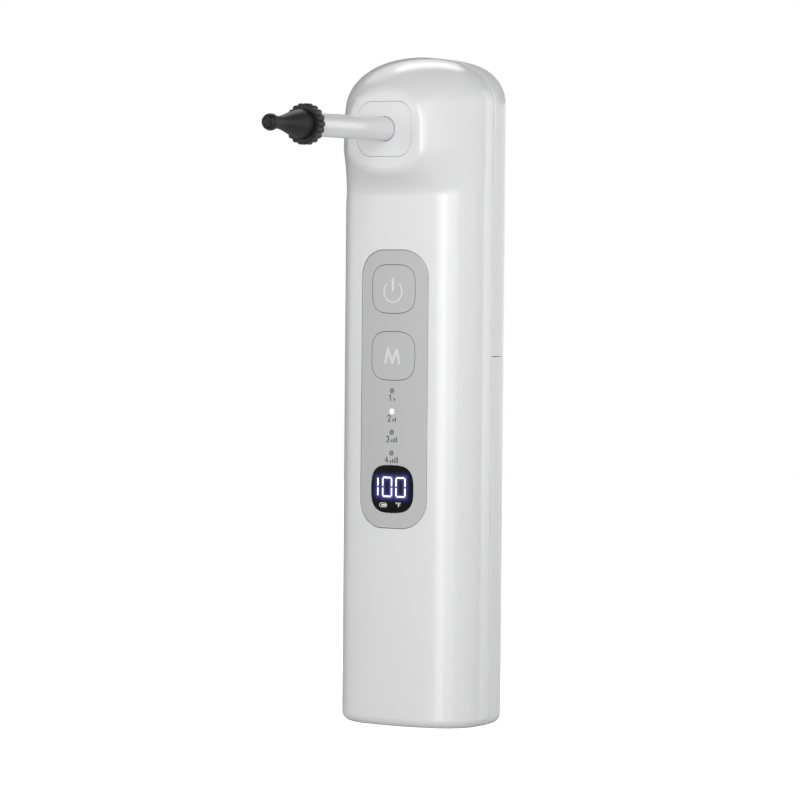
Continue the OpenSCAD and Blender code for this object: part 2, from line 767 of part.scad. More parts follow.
module battery_leads() {
    side_x = cell_x - cell_r - 2.2;
    low_z = cell_z0 - contact_gap - contact_t - lead_r;
    up = [[cell_x - 2, lead_y + 0.2, cell_z0 + cell_len + contact_gap + contact_t],
        [cell_x - 2, lead_y, board_z0 + 9]];
    down = bend([[cell_x - 2, cell_y - 1, low_z],
            [side_x, cell_y - 1, low_z],
            [side_x, lead_y, cell_z0 + 6],
            [side_x, lead_y, board_z0 + 9]], 1.6, 3);
    color("crimson") swept(up, [1, 0, 0], lead_r, 8);
    color("black") swept(down, [0, 0, 1], lead_r, 8);
}

module charge_board() {
    color("darkgreen") difference() {
        box(charge_board_x0, charge_board_y, port_z - 9, -3.4, charge_board_y + charge_board_t,
            port_z + 9);
        for (x = charge_post_xs) rod_y(x, 0, port_z, charge_screw[2] + 0.2, 10);
    }
}

module charge_board_screws() {
    color("silver") for (x = charge_post_xs) mirror([0, 1, 0])
        screw_y(x, -charge_board_y, port_z, charge_screw);
}

module usb_socket() {
    module oblong(grow, x0, len) {
        r = usb_t / 2 + grow;
        for (dz = [-1, 1]) rod_x(x0, port_y, port_z + dz * (usb_w - usb_t) / 2, r, len);
        box(x0, port_y - r, port_z - (usb_w - usb_t) / 2, x0 + len, port_y + r,
            port_z + (usb_w - usb_t) / 2);
    }
    color("silver") difference() {
        oblong(0, usb_x0, usb_len);
        oblong(-usb_wall, usb_x0 - 1, usb_len);
    }
    color("black") box(usb_x0 + 1, port_y - 0.35, port_z - 3.2, usb_x0 + usb_len - 0.5,
        port_y + 0.35, port_z + 3.2);
}

// Soft flap that folds out and down about its lower edge
module port_cover() {
    color("gainsboro") {
        difference() {
            box(flap_x, port_y - flap_w / 2, flap_pin_z, flap_x + flap_t, port_y + flap_w / 2,
                flap_z1);
            // thumbnail notch in the upper edge
            rod_y(flap_x - 1.2, port_y + 2, flap_z1, 1.5, 4);
        }
        rod_y(flap_pin_x, port_y + flap_w / 2, flap_pin_z, flap_barrel_r, flap_w);
        box(flap_x + flap_t - eps, port_y - usb_t / 2 + 0.75, port_z - 3.6,
            flap_x + flap_t + 0.9, port_y + usb_t / 2 - 0.75, port_z + 3.6);
    }
}

// ---- Nozzle ----

module nozzle_seat() {
    color("white") difference() {
        plate_y(seat_w, seat_h, seat_r, seat_y, nozzle_z, seat_t);
        rod_y(0, seat_y + seat_t + 1, nozzle_z, arm_r0 + piece_gap, seat_t + 2);
    }
}

// Fixed sleeve that takes the spigot, with a barb for the delivery tube behind it
module nozzle_socket() {
    color("lightgrey") difference() {
        union() {
            rod_y(0, socket_back_y, nozzle_z, socket_r, socket_back_y - socket_front_y);
            rod_y(0, socket_front_y + 2 + 1.5, nozzle_z, socket_r + 1.6, 1.5);
            rod_y(0, socket_back_y + barb_len, nozzle_z, barb_r, barb_len + eps);
        }
        rod_y(0, seat_y + spigot_len + 1, nozzle_z, socket_bore_r, spigot_len + 3);
        rod_y(0, socket_back_y + barb_len + 1, nozzle_z, barb_bore_r, 12);
    }
}

module o_ring(y, ring_r, cord_r) {
    translate([0, y, nozzle_z]) rotate([90, 0, 0]) rotate_extrude($fn=72)
        translate([ring_r, 0]) circle(r=cord_r, $fn=24);
}

module nozzle_arm() {
    color("white") difference() {
        union() {
            rod_y(0, seat_y + spigot_len, nozzle_z, spigot_r, spigot_len);
            translate([0, seat_y + eps, nozzle_z]) rotate([90, 0, 0])
                cylinder(r1=arm_r0, r2=arm_r1, h=arm_len, $fn=96);
            // flange inside the collar, and the nipple inside the tip
            rod_y(0, collar_y + eps, nozzle_z, tip_flange_r - 0.2, arm_flange_t);
            rod_y(0, collar_y + eps, nozzle_z, nipple_r, nipple_len);
        }
        rod_y(0, seat_y + spigot_len + 1, nozzle_z, channel_r, spigot_len + arm_len + nipple_len + 2);
        // grooves of the two sealing rings
        for (y = o_ring_ys) difference() {
            rod_y(0, y + 0.75, nozzle_z, spigot_r + 1, 1.5);
            rod_y(0, y + 1, nozzle_z, o_ring_r - o_ring_cord_r, 2);
        }
    }
}

module nozzle_o_rings() {
    color("black") for (y = o_ring_ys) o_ring(y, o_ring_r, o_ring_cord_r);
}

// Knurled ring that holds the tip on the arm: round knobs with sharp valleys between them
module tip_collar() {
    steps = 8 * collar_knobs;
    color("black") translate([0, collar_y, nozzle_z]) rotate([90, 0, 0]) difference() {
        linear_extrude(collar_len) polygon([for (i = [0:steps - 1]) let (a = 360 * i / steps)
            (collar_r - knob_depth * (1 - abs(cos(collar_knobs * a / 2)))) * [cos(a), sin(a)]]);
        translate([0, 0, -1]) cylinder(r=tip_base_r + 0.1, h=collar_len + 2, $fn=96);
        translate([0, 0, -1]) cylinder(r=tip_flange_r + 0.1, h=collar_len + 1 - collar_lip_t, $fn=96);
    }
}

// Soft tapered tip with a bulb end and three jets
module ear_tip() {
    flange_z = tip_flange_z - collar_len;
    neck_z = tip_len - 4.9;
    bulb_z = tip_len - 2;
    neck_a = acos(tip_neck_r / tip_bulb_r);
    face_a = asin(2 / tip_bulb_r);
    color("black") difference() {
        translate([0, tip_y, nozzle_z]) rotate([90, 0, 0]) rotate_extrude($fn=96) polygon(concat(
            [[0, flange_z], [tip_flange_r, flange_z], [tip_flange_r, flange_z + tip_flange_t],
                [tip_base_r, flange_z + tip_flange_t]],
            [for (i = [0:10]) [tip_neck_r + (tip_base_r - tip_neck_r) * (1 + cos(18 * i)) / 2,
                neck_z * i / 10]],
            [for (i = [0:8]) let (a = -neck_a + (neck_a + face_a) * i / 8)
                [tip_bulb_r * cos(a), bulb_z + tip_bulb_r * sin(a)]],
            [[0, tip_len]]));
        // hollow for the nipple, the channel and the jets
        rod_y(0, collar_y, nozzle_z, nipple_r + 0.1, nipple_len + piece_gap);
        rod_y(0, collar_y, nozzle_z, channel_r, collar_len + tip_len - 1.2);
        for (a = [0, 120, 240])
            rod_y(jet_circle_r * cos(a), tip_y - tip_len + 2, nozzle_z + jet_circle_r * sin(a),
                jet_r, 4);
    }
}

// ---- Water tank ----

// Everything behind the curved outer face of the filling lid
module lid_face() {
    translate([0, rear_y - lid_r, 0]) cylinder(r=lid_r, h=body_h, $fn=360);
}

module water_tank() {
    color("white") difference() {
        lower_form(0, 5, tank_top_z);
        difference() {
            lower_form(tank_wall, 4, tank_top_z - tank_wall);
            box(-big / 2, -big / 2, 0, big / 2, tank_in_front_y, body_h);
            box(-tongue_w / 2 - 2, 0, 0, tongue_w / 2 + 2, tongue_y + 2.2, tongue_t + 2.2);
            // pad that carries the filling mouth and the lid hinge
            box(-lid_w / 2 - 2, lid_pad_y, lid_z1 - lid_h - 2, lid_w / 2 + 2, big, body_h);
            rod_y(dock_x, dock_boss_y, dock_z, dock_boss_r, dock_boss_y);
        }
        translate([-big / 2, tank_front_y - big, -1]) cube([big, big, body_h + 2]);
        // notch for the locating tongue
        box(-tongue_w / 2 - piece_gap, -1, -1, tongue_w / 2 + piece_gap, tongue_y + piece_gap,
            tongue_t + piece_gap);
        // lid pocket, room for the lid's upper edge, and the knuckle slot
        plate_y(lid_w + 2 * pocket_gap, lid_h + 2 * pocket_gap, lid_corner + pocket_gap, pocket_y,
            lid_mid_z, 10);
        box(-lid_w / 2 - pocket_gap, lug_y, lid_z1 - 3, lid_w / 2 + pocket_gap, big,
            lid_pin_z + 2.8);
        box(-knuckle_w / 2 - piece_gap, lid_pin_y - knuckle_r - piece_gap, lid_z1 - 0.2,
            knuckle_w / 2 + piece_gap, big, lid_pin_z + 2.3);
        rod_x(-knuckle_w / 2 - 3, lid_pin_y, lid_pin_z, lid_pin_r, knuckle_w + 6);
        plate_y(mouth_w, mouth_h, lid_corner, 0, mouth_z, big);
        // docking bore
        rod_y(dock_x, dock_boss_y + 1, dock_z, dock_bore_r, dock_boss_y + 2);
    }
}

// Soft one-way valve seated in the docking bore
module tank_outlet_valve() {
    color("lightgrey") difference() {
        union() {
            rod_y(dock_x, dock_boss_y + valve_flange_t, dock_z, dock_bore_r - fit_gap,
                dock_boss_y + valve_flange_t - dock_tip_y - 1.2);
            rod_y(dock_x, dock_boss_y + valve_flange_t, dock_z, dock_bore_r + 0.8, valve_flange_t);
        }
        rod_y(dock_x, dock_boss_y + 2, dock_z, 0.9, 8);
    }
}

module tank_lid() {
    color("white") difference() {
        union() {
            intersection() {
                union() {
                    plate_y(lid_w, lid_h, lid_corner, lid_in_y, lid_mid_z, 5);
                    box(-knuckle_w / 2, lid_in_y, lid_z1 - 3, knuckle_w / 2, rear_y + 1, lid_pin_z);
                }
                lid_face();
            }
            rod_x(-knuckle_w / 2, lid_pin_y, lid_pin_z, knuckle_r, knuckle_w);
        }
        rod_x(-knuckle_w, lid_pin_y, lid_pin_z, lid_pin_r + fit_gap, 2 * knuckle_w);
        // fingernail notch in the lower edge
        rod_x(-4, rear_y + 0.3, lid_z1 - lid_h, 0.8, 8);
    }
}

// Soft plug on the inside of the lid
module lid_seal() {
    color("lightgrey") {
        plate_y(mouth_w - 2 * plug_gap, mouth_h - 2 * plug_gap, lid_corner - plug_gap,
            lid_in_y - plug_len, mouth_z, plug_len);
    }
}

module lid_pin() {
    color("silver") rod_x(-knuckle_w / 2 - 3, lid_pin_y, lid_pin_z, lid_pin_r, knuckle_w + 6);
}

// Spigot on the bulkhead that enters the tank's outlet
module dock_spigot() {
    color("lightgrey") difference() {
        union() {
            rod_y(dock_x, dock_tip_y, dock_z, dock_r, dock_tip_y - frame_front_y + 1);
            rod_y(dock_x, frame_back_y, dock_z, dock_r + dock_shoulder, frame_t);
            rod_y(dock_x, frame_front_y, dock_z, dock_r + 2 * dock_shoulder, dock_flange_t);
            rod_y(dock_x, frame_front_y - dock_flange_t + eps, dock_z, barb_r, barb_len + eps);
        }
        rod_y(dock_x, dock_tip_y + 1, dock_z, barb_bore_r, 14);
        difference() {
            rod_y(dock_x, dock_tip_y - 1.2, dock_z, dock_r + 1, 1.4);
            rod_y(dock_x, dock_tip_y, dock_z, dock_seal_r - 1.04, 4);
        }
    }
}

module dock_o_ring() {
    cord_r = 0.52;
    color("black") translate([dock_x, dock_tip_y - 1.9, dock_z]) rotate([90, 0, 0])
        rotate_extrude($fn=64) translate([dock_seal_r - cord_r, 0]) circle(r=cord_r, $fn=24);
}

// ---- Pump, motor and water line ----

function involute(a) = gear_base_r * [cos(a) + a * PI / 180 * sin(a), sin(a) - a * PI / 180 * cos(a)];
// Pressure angle, in degrees of roll, at which the involute reaches radius r
function roll_at(r) = r <= gear_base_r ? 0 : sqrt(r * r / (gear_base_r * gear_base_r) - 1) * 180 / PI;
function polar(r, a) = [r * cos(a), r * sin(a)];

// One flank from the base circle to the tip, turned so that the tooth's middle is at angle 0
function flank(side) = let (
        at_pitch = roll_at(gear_pitch_r),
        pitch_point = involute(at_pitch),
        half_tooth = 90 / gear_teeth - backlash / 2 / gear_pitch_r * 180 / PI,
        turn = -atan2(pitch_point[1], pitch_point[0]) - half_tooth)
    [for (i = [0:5]) let (
            r = gear_base_r + (gear_tip_r - gear_base_r) * i / 5,
            p = involute(roll_at(r)),
            a = atan2(p[1], p[0]) + turn)
        polar(r, side * a)];

module gear_outline() {
    low = flank(1);
    high = flank(-1);
    root_a = atan2(low[0][1], low[0][0]);
    polygon([for (i = [0:gear_teeth - 1]) let (a = 360 * i / gear_teeth) each [
        polar(gear_root_r, a + root_a - 1),
        for (p = low) polar(norm(p), a + atan2(p[1], p[0])),
        for (k = [5:-1:0]) polar(norm(high[k]), a + atan2(high[k][1], high[k][0])),
        polar(gear_root_r, a - root_a + 1)]]);
}

module pump_gear(y, phase) {
    translate([0, y, chamber_z0 + 0.1]) linear_extrude(gear_w) rotate(phase) gear_outline();
}

// Gear on the motor shaft: one tooth points at the idler
module drive_gear() {
    color("silver") {
        pump_gear(drive_y, -90);
        rod_z(0, drive_y, pump_z0 + 1.5, shaft_r, motor_z0 + 1.5 - pump_z0 - 1.5);
    }
}

module idler_gear() {
    color("silver") {
        pump_gear(idler_y, 90 + 180 / gear_teeth);
        rod_z(0, idler_y, pump_z0 + 1.5, shaft_r, pump_z1 + pump_cover_t - 1.5 - pump_z0 - 1.5);
    }
}

module pump_housing() {
    color("dimgray") difference() {
        union() {
            box(-pump_half_w, pump_front_y, pump_z0, pump_half_w, pump_back_y, pump_z1);
            for (sx = [-1, 1]) rod_x(sx < 0 ? -pump_port_x : pump_half_w - eps, pump_y,
                pump_port_z, tube_r, pump_port_x - pump_half_w + eps);
            for (sx = [-1, 1]) rod_x(sx < 0 ? -pump_port_x - barb_len : pump_port_x - eps, pump_y,
                pump_port_z, barb_r, barb_len + eps);
        }
        for (y = [drive_y, idler_y]) {
            rod_z(0, y, chamber_z0, chamber_r, chamber_h + 1);
            rod_z(0, y, pump_z0 + 1.2, shaft_r + fit_gap, chamber_z0);
        }
        rod_x(-pump_port_x - barb_len - 1, pump_y, pump_port_z, barb_bore_r,
            2 * (pump_port_x + barb_len + 1));
        for (sx = [-1, 1], y = screw_pump_ys)
            rod_z(sx * screw_pump_x, y, pump_z0 - 1, pump_screw_r + head_gap, 40);
    }
}

module pump_cover() {
    color("dimgray") difference() {
        box(-pump_half_w, pump_front_y, pump_z1, pump_half_w, pump_back_y, motor_z0);
        rod_z(0, drive_y, pump_z1 - 1, shaft_r + fit_gap, 10);
        rod_z(0, idler_y, pump_z1 - 1, shaft_r + fit_gap, pump_cover_t - 0.2);
        for (sx = [-1, 1], y = screw_pump_ys) {
            rod_z(sx * screw_pump_x, y, pump_z1 - 1, pump_screw_r + head_gap, 10);
            rod_z(sx * screw_pump_x, y, pump_screw_z, pump_screw_head_r + head_gap, 3);
        }
    }
}

module pump_screws() {
    color("silver") for (sx = [-1, 1], y = screw_pump_ys) {
        rod_z(sx * screw_pump_x, y, pump_screw_end_z, pump_screw_r,
            pump_screw_z - pump_screw_end_z + eps);
        rod_z(sx * screw_pump_x, y, pump_screw_z, pump_screw_head_r, pump_screw_head_h);
    }
}

module motor_can() {
    color("silver") difference() {
        intersection() {
            rod_z(0, drive_y, motor_z0, motor_r, motor_len);
            box(-motor_r, drive_y - motor_flat / 2, motor_z0, motor_r, drive_y + motor_flat / 2,
                motor_z1);
        }
        rod_z(0, drive_y, motor_z0 - 1, shaft_r + 0.2, 4);
    }
}

module motor_end_cap() {
    color("ivory") {
        intersection() {
            rod_z(0, drive_y, motor_z1, motor_r - 0.6, end_cap_t);
            box(-motor_r, drive_y - motor_flat / 2 + 0.6, motor_z1, motor_r,
                drive_y + motor_flat / 2 - 0.6, motor_z1 + 3);
        }
        rod_z(0, drive_y, motor_z1 + end_cap_t - eps, 3, 1);
    }
}

module motor_leads() {
    top_z = motor_z1 + end_cap_t;
    for (sx = [-1, 1]) color(sx < 0 ? "crimson" : "black")
        swept(bend([[sx * 5, drive_y, top_z], [sx * 5, drive_y, top_z + 3],
            [sx * 5, lead_y, top_z + 3], [sx * 5, lead_y, board_z1 - 4]], 2, 3),
            [1, 0, 0], lead_r, 8);
}

module suction_tube() {
    color("whitesmoke") tube([[dock_x, frame_front_y - 1.2, dock_z], [dock_x, tube_y, dock_z],
        [tube_x, tube_y, dock_z + 8], [tube_x, tube_y, pump_z0 + 1], [tube_x, pump_y, pump_port_z],
        [pump_port_x, pump_y, pump_port_z]], [0, 0, 1], 3);
}

module heater_inlet_tube() {
    color("whitesmoke") tube([[-pump_port_x, pump_y, pump_port_z],
        [heater_x, pump_y, pump_port_z], [heater_x, pump_y, heater_z0]], [0, 1, 0], 3.2);
}

// Steel tube with end caps, wound inside with the heating wire
module heater_tube() {
    color("silver") difference() {
        union() {
            rod_z(heater_x, pump_y, heater_z0, heater_r - 0.5, heater_z1 - heater_z0);
            for (z = [heater_z0, heater_z1 - 3]) rod_z(heater_x, pump_y, z, heater_r, 3);
        }
        rod_z(heater_x, pump_y, heater_z0 - 1, tube_bore_r, heater_z1 - heater_z0 + 2);
    }
}

// Sensor clipped on the upper end of the heater
module temperature_probe() {
    color("gold") difference() {
        union() {
            rod_z(heater_x, pump_y, heater_z1 - 9, heater_r + 0.4, 4);
            rod_y(heater_x, pump_y - heater_r, heater_z1 - 7, 1.2, 3);
        }
        rod_z(heater_x, pump_y, heater_z1 - 10, heater_r - 0.5, 6);
    }
}

module delivery_tube() {
    color("whitesmoke") tube([[heater_x, pump_y, heater_z1], [heater_x, pump_y, nozzle_z],
        [0, pump_y, nozzle_z], [0, socket_back_y, nozzle_z]], [0, 1, 0], 5);
}

front_shell();
rear_cover();
inner_frame();
frame_screws();
cover_screws();
control_panel();
power_button();
mode_button();
power_switch_plunger();
mode_switch_plunger();
switch_housings();
light_guides();
indicator_leds();
display_lens();
display_module();
main_board();
board_screws();
battery_cell();
battery_cradle();
battery_contacts();
battery_leads();
charge_board();
charge_board_screws();
usb_socket();
port_cover();
nozzle_seat();
nozzle_socket();
nozzle_arm();
nozzle_o_rings();
tip_collar();
ear_tip();
water_tank();
tank_outlet_valve();
tank_lid();
lid_seal();
lid_pin();
dock_spigot();
dock_o_ring();
pump_housing();
pump_cover();
pump_screws();
drive_gear();
idler_gear();
motor_can();
motor_end_cap();
motor_leads();
suction_tube();
heater_inlet_tube();
heater_tube();
temperature_probe();
delivery_tube();
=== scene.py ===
import json
import math

import bpy
import numpy as np
from mathutils import Matrix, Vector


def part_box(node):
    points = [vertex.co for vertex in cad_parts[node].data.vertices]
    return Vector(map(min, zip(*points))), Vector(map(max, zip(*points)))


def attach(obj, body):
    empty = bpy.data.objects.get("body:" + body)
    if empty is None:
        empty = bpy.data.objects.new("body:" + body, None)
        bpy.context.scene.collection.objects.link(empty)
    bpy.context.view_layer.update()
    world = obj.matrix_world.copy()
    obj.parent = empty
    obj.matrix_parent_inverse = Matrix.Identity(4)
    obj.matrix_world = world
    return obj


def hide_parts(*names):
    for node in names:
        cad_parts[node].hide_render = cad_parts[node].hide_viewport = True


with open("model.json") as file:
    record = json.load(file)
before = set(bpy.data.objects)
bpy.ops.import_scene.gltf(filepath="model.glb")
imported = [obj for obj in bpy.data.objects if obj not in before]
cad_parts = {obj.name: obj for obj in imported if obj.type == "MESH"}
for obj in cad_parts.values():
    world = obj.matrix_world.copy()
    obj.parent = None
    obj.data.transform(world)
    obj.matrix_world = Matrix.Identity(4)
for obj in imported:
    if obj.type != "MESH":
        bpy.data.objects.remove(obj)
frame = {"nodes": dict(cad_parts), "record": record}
scene = bpy.context.scene
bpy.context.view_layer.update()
nodes = frame["nodes"]
mm = 0.001
print("frame loaded:", len(nodes), "nodes")


def linked(name, data):
    ob = bpy.data.objects.new(name, data)
    scene.collection.objects.link(ob)
    return ob


# A camera or lamp whose three axes and place in metres are the columns of its matrix
def stand(name, data, columns):
    ob = linked(name, data)
    ob.matrix_world = Matrix(np.vstack([np.column_stack(columns), [0, 0, 0, 1]]).tolist())
    return ob


# Camera right of the front, rolled a touch and then pitched down at the middle
camera = dict(azimuth=32.0, distance=1257.7, aside=-6.04, height=145.4, axisY=-4.6,
              lens=179.26, sensor=36, pitch=0.03445, roll=0.0084, clip=(0.05, 20))


def makeCamera(s):
    a = math.radians(s["azimuth"])
    toward = np.array([math.sin(a), -math.cos(a), 0])
    right = np.array([math.cos(a), math.sin(a), 0])
    up = np.array([0, 0, 1.0])
    place = np.array([0, s["axisY"], s["height"]]) + toward * s["distance"] + right * s["aside"]
    tiltedUp = up * math.cos(s["roll"]) - right * math.sin(s["roll"])
    tiltedRight = right * math.cos(s["roll"]) + up * math.sin(s["roll"])
    c, d = math.cos(s["pitch"]), math.sin(s["pitch"])
    data = bpy.data.cameras.new("viewCamera")
    data.lens, data.sensor_width = s["lens"], s["sensor"]
    data.clip_start, data.clip_end = s["clip"]
    scene.camera = stand("viewCamera", data, [
        tiltedRight, tiltedUp * c - toward * d, toward * c + tiltedUp * d, place * mm])


makeCamera(camera)


# The two methods of an operator that adds a Math node, plain and with its sides swapped
def mathsPair(how):
    return (lambda self, other: self.maths(how, self, other),
            lambda self, other: self.maths(how, other, self))


# One output socket of a node; arithmetic on it adds Math nodes to its tree
class Sock:
    def __init__(self, tree, socket):
        self.tree, self.socket = tree, socket

    def maths(self, how, *values):
        return node(self.tree, "Math", dict(enumerate(values)), operation=how)[0]

    __add__, __radd__ = mathsPair("ADD")
    __sub__, __rsub__ = mathsPair("SUBTRACT")
    __mul__, __rmul__ = mathsPair("MULTIPLY")
    __truediv__, __rtruediv__ = mathsPair("DIVIDE")


# Adds a shader node with values or links at its inputs, and its settings; gives its outputs
def node(tree, kind, inputs, **settings):
    n = tree.nodes.new("ShaderNode" + kind)
    for key, value in settings.items():
        setattr(n, key, value)
    for key, value in inputs.items():
        if isinstance(value, Sock):
            tree.links.new(value.socket, n.inputs[key])
        else:
            n.inputs[key].default_value = value
    return [Sock(tree, o) for o in n.outputs]


def mixColour(tree, factor, a, b):
    return node(tree, "Mix", {0: factor, 6: a, 7: b}, data_type="RGBA")[2]


# Linear colour of an sRGB one given in 0 to 255
def linear(srgb, shade=1.0):
    c = np.array(srgb, float) / 255
    return tuple(shade * np.where(c <= 0.04045, c / 12.92, ((c + 0.055) / 1.055) ** 2.4)) + (1.0,)


def newMaterial(name, **constants):
    m = bpy.data.materials.new(name)
    m.use_nodes = True
    tree = m.node_tree
    tree.nodes.clear()
    shader = tree.nodes.new("ShaderNodeBsdfPrincipled")
    out = tree.nodes.new("ShaderNodeOutputMaterial")
    tree.links.new(shader.outputs[0], out.inputs[0])
    for key, value in constants.items():
        shader.inputs[key.replace("_", " ")].default_value = value
    return m, tree, shader


def feed(tree, shader, **links):
    for key, value in links.items():
        tree.links.new(value.socket, shader.inputs[key.replace("_", " ")])


def objectPlace(tree):
    return node(tree, "TexCoord", {})[3]


def noise(tree, place, scale, detail=3.0, rough=0.5):
    return node(tree, "TexNoise",
                {"Vector": place, "Scale": scale, "Detail": detail, "Roughness": rough})[0]


def bump(tree, height, strength, distance):
    return node(tree, "Bump", {"Height": height, "Strength": strength, "Distance": distance})[0]


# Injection moulded plastic: slow drift of tone, fine grain in tone and bump, uneven gloss
def moulded(name, srgb, darker=0.97, roughness=0.35, spread=0.05, grain=0.12, grainSize=2600,
            depth=0.00002, **constants):
    m, tree, shader = newMaterial(name, **constants)
    place = objectPlace(tree)
    fine = noise(tree, place, grainSize, 2, 0.6)
    feed(tree, shader,
         Base_Color=mixColour(tree, noise(tree, place, 18, 4) * 0.7 + fine * 0.3,
                              linear(srgb, darker), linear(srgb)),
         Roughness=roughness + (noise(tree, place, 140, 3) - 0.5) * (2 * spread),
         Normal=bump(tree, fine, grain, depth))
    return m


# Drawn or turned metal: streaks one way in tone, gloss and bump
def metal(name, srgb, roughness=0.3, lines=900):
    m, tree, shader = newMaterial(name, Metallic=1.0)
    stretched = node(tree, "Mapping", {"Vector": objectPlace(tree), "Scale": (1, 1, 0.04)})[0]
    streak = noise(tree, stretched, lines, 3)
    feed(tree, shader, Base_Color=mixColour(tree, streak, linear(srgb, 0.8), linear(srgb)),
         Roughness=roughness + (streak - 0.5) * 0.15, Normal=bump(tree, streak, 0.1, 0.00002))
    return m


# Lit mark or lamp: its light falls off a little from place to place
def glowing(name, srgb, strength, spread=0.15):
    m, tree, shader = newMaterial(name, Emission_Strength=strength, Roughness=0.4)
    tone = noise(tree, objectPlace(tree), 400, 2) * spread + (1 - spread)
    shades = mixColour(tree, tone, (0, 0, 0, 1), linear(srgb))
    feed(tree, shader, Base_Color=shades, Emission_Color=shades)
    return m


finishes = {
    "shell_white": moulded("satinWhiteShell", (232, 232, 233), 0.985, 0.20, 0.02, 0.04,
                           Specular_IOR_Level=0.85),
    "panel_grey": moulded("panelGrey", (197, 197, 198), 0.97, 0.42, 0.04, 0.12),
    "button_grey": moulded("buttonGrey", (197, 197, 198), 0.97, 0.42, 0.04, 0.12),
    "lens_black": moulded("smokedWindow", (9, 9, 12), 0.7, 0.12, 0.03, 0.02),
    "light_guide": moulded("diffuserGrey", (140, 140, 142), 0.9, 0.35, 0.05, 0.1),
    "tip_rubber": moulded("softBlackSilicone", (26, 26, 27), 0.7, 0.50, 0.08, 0.25, 1800),
    "collar_black": moulded("blackNylon", (18, 18, 19), 0.7, 0.38, 0.08, 0.2, 1800),
    "seal_rubber": moulded("sealRubber", (30, 30, 31), 0.7, 0.6, 0.06, 0.2),
    "silicone_clear": moulded("milkySilicone", (215, 214, 210), 0.94, 0.38, 0.06, 0.08),
    "frame_plastic": moulded("naturalFramePlastic", (205, 204, 200), 0.95, 0.45, 0.06, 0.15),
    "dark_plastic": moulded("darkGreyPlastic", (52, 52, 55), 0.85, 0.45, 0.06, 0.2),
    "steel": metal("plainSteel", (190, 190, 192)),
    "board_green": moulded("solderMaskGreen", (18, 92, 52), 0.8, 0.3, 0.06, 0.1, 900),
    "cell_wrap": moulded("cellShrinkFilm", (40, 95, 150), 0.9, 0.25, 0.05, 0.06),
    "contact_brass": metal("platedBrass", (214, 186, 120), 0.28),
    "wire_red": moulded("wireInsulation", (170, 24, 24), 0.85, 0.4, 0.05, 0.1),
}
slotOf = {p["node"]: p["material_slot"] for p in frame["record"]["subparts"]}
for name, ob in nodes.items():
    ob.data.materials.clear()
    ob.data.materials.append(finishes[slotOf[name]])
print("finishes made:", len(finishes))


# Lowest and highest corner of a node at rest, in millimetres
def corners(name):
    return np.array(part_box(name)) / mm


# Width, height and middle of a node seen from the front
def footprint(name):
    low, high = corners(name)
    return dict(width=high[0] - low[0], height=high[2] - low[2], middle=(0, (low[2] + high[2]) / 2))


shellHigh, tankHigh = corners("front_shell")[1], corners("water_tank")[1]
coverLow = corners("rear_cover")[0]
body = dict(height=shellHigh[2], halfWidth=shellHigh[0], frontDepth=15.5, rearDepth=24.7, widestY=-4.6,
            frontPower=2.44, rearPower=2.9, baseRound=2.9, wall=2.0, headLow=166.0, headHigh=181.0,
            headLead=2.7, headDepth=26.8, headPower=1.73, sideDome=(15.3, 2.15), frontDome=(22.4, 1.75),
            rearDome=(8.9, 4.0), seatDepth=21.3, seatBlend=1.6, seamHalf=0.15, seamLip=0.4)


def quarter(steps):
    return np.linspace(0, np.pi / 2, steps)


def wholeTurn(steps):
    return np.linspace(0, 2 * np.pi, steps, endpoint=False)


# Points of a circle at the angles a
def circle(r, a, x=0, z=0):
    return np.column_stack([x + r * np.cos(a), z + r * np.sin(a)])


def smoothStep(t):
    c = np.clip(t, 0, 1)
    return c * c * (3 - 2 * c)


def fillet(rise, r):
    return r - np.sqrt(np.maximum(0, r * r - np.maximum(rise, 0) ** 2))


# Share of the width left at height z where the top rounds off: (1 - u^n)^(1/n) over its height
def crown(z, dome):
    height, power = dome
    u = np.clip((z - body["height"] + height) / height, 0, 1)
    return np.maximum(1 - u ** power, 0.06 ** power) ** (1 / power)


# The lesser of two values, rounded over where they meet within k
def softMin(a, b, k):
    h = np.clip(0.5 + 0.5 * (b - a) / k, 0, 1)
    return h * a + (1 - h) * b - k * h * (1 - h)


# Half width, front depth, rear depth and front power of the section at height z
def section(z, cut=0.0):
    s = body
    span = s["headHigh"] - s["headLow"]
    swell = smoothStep((z - s["headLow"]) / span)
    power = s["frontPower"] + (s["headPower"] - s["frontPower"]) * smoothStep(
        (z - s["headLow"] + s["headLead"]) / span)
    inset = fillet(s["baseRound"] - z, s["baseRound"]) + cut
    front = (s["frontDepth"] + (s["headDepth"] - s["frontDepth"]) * swell) * crown(z, s["frontDome"])
    return (s["halfWidth"] * crown(z, s["sideDome"]) - inset, front - inset,
            s["rearDepth"] * crown(z, s["rearDome"]) - inset, power)


# Upright stack of super-ellipses, x = a |cos t|^(2/n) and y = -depth |sin t|^(2/n) on each half, with
# the front softly cut flat at the nozzle seat
def housingPoint(t, z, cut=0.0):
    s = body
    a, f, r, n = section(z, cut)
    front = np.sin(t) < 0
    p = 2 / np.where(front, n, s["rearPower"])
    x = a * np.sign(np.cos(t)) * np.abs(np.cos(t)) ** p
    d = np.where(front, f, r) * np.abs(np.sin(t)) ** p
    y = np.where(front, -softMin(d, s["seatDepth"] - cut, s["seatBlend"]), d)
    return np.stack([x, s["widestY"] + y, z + 0 * x], -1)


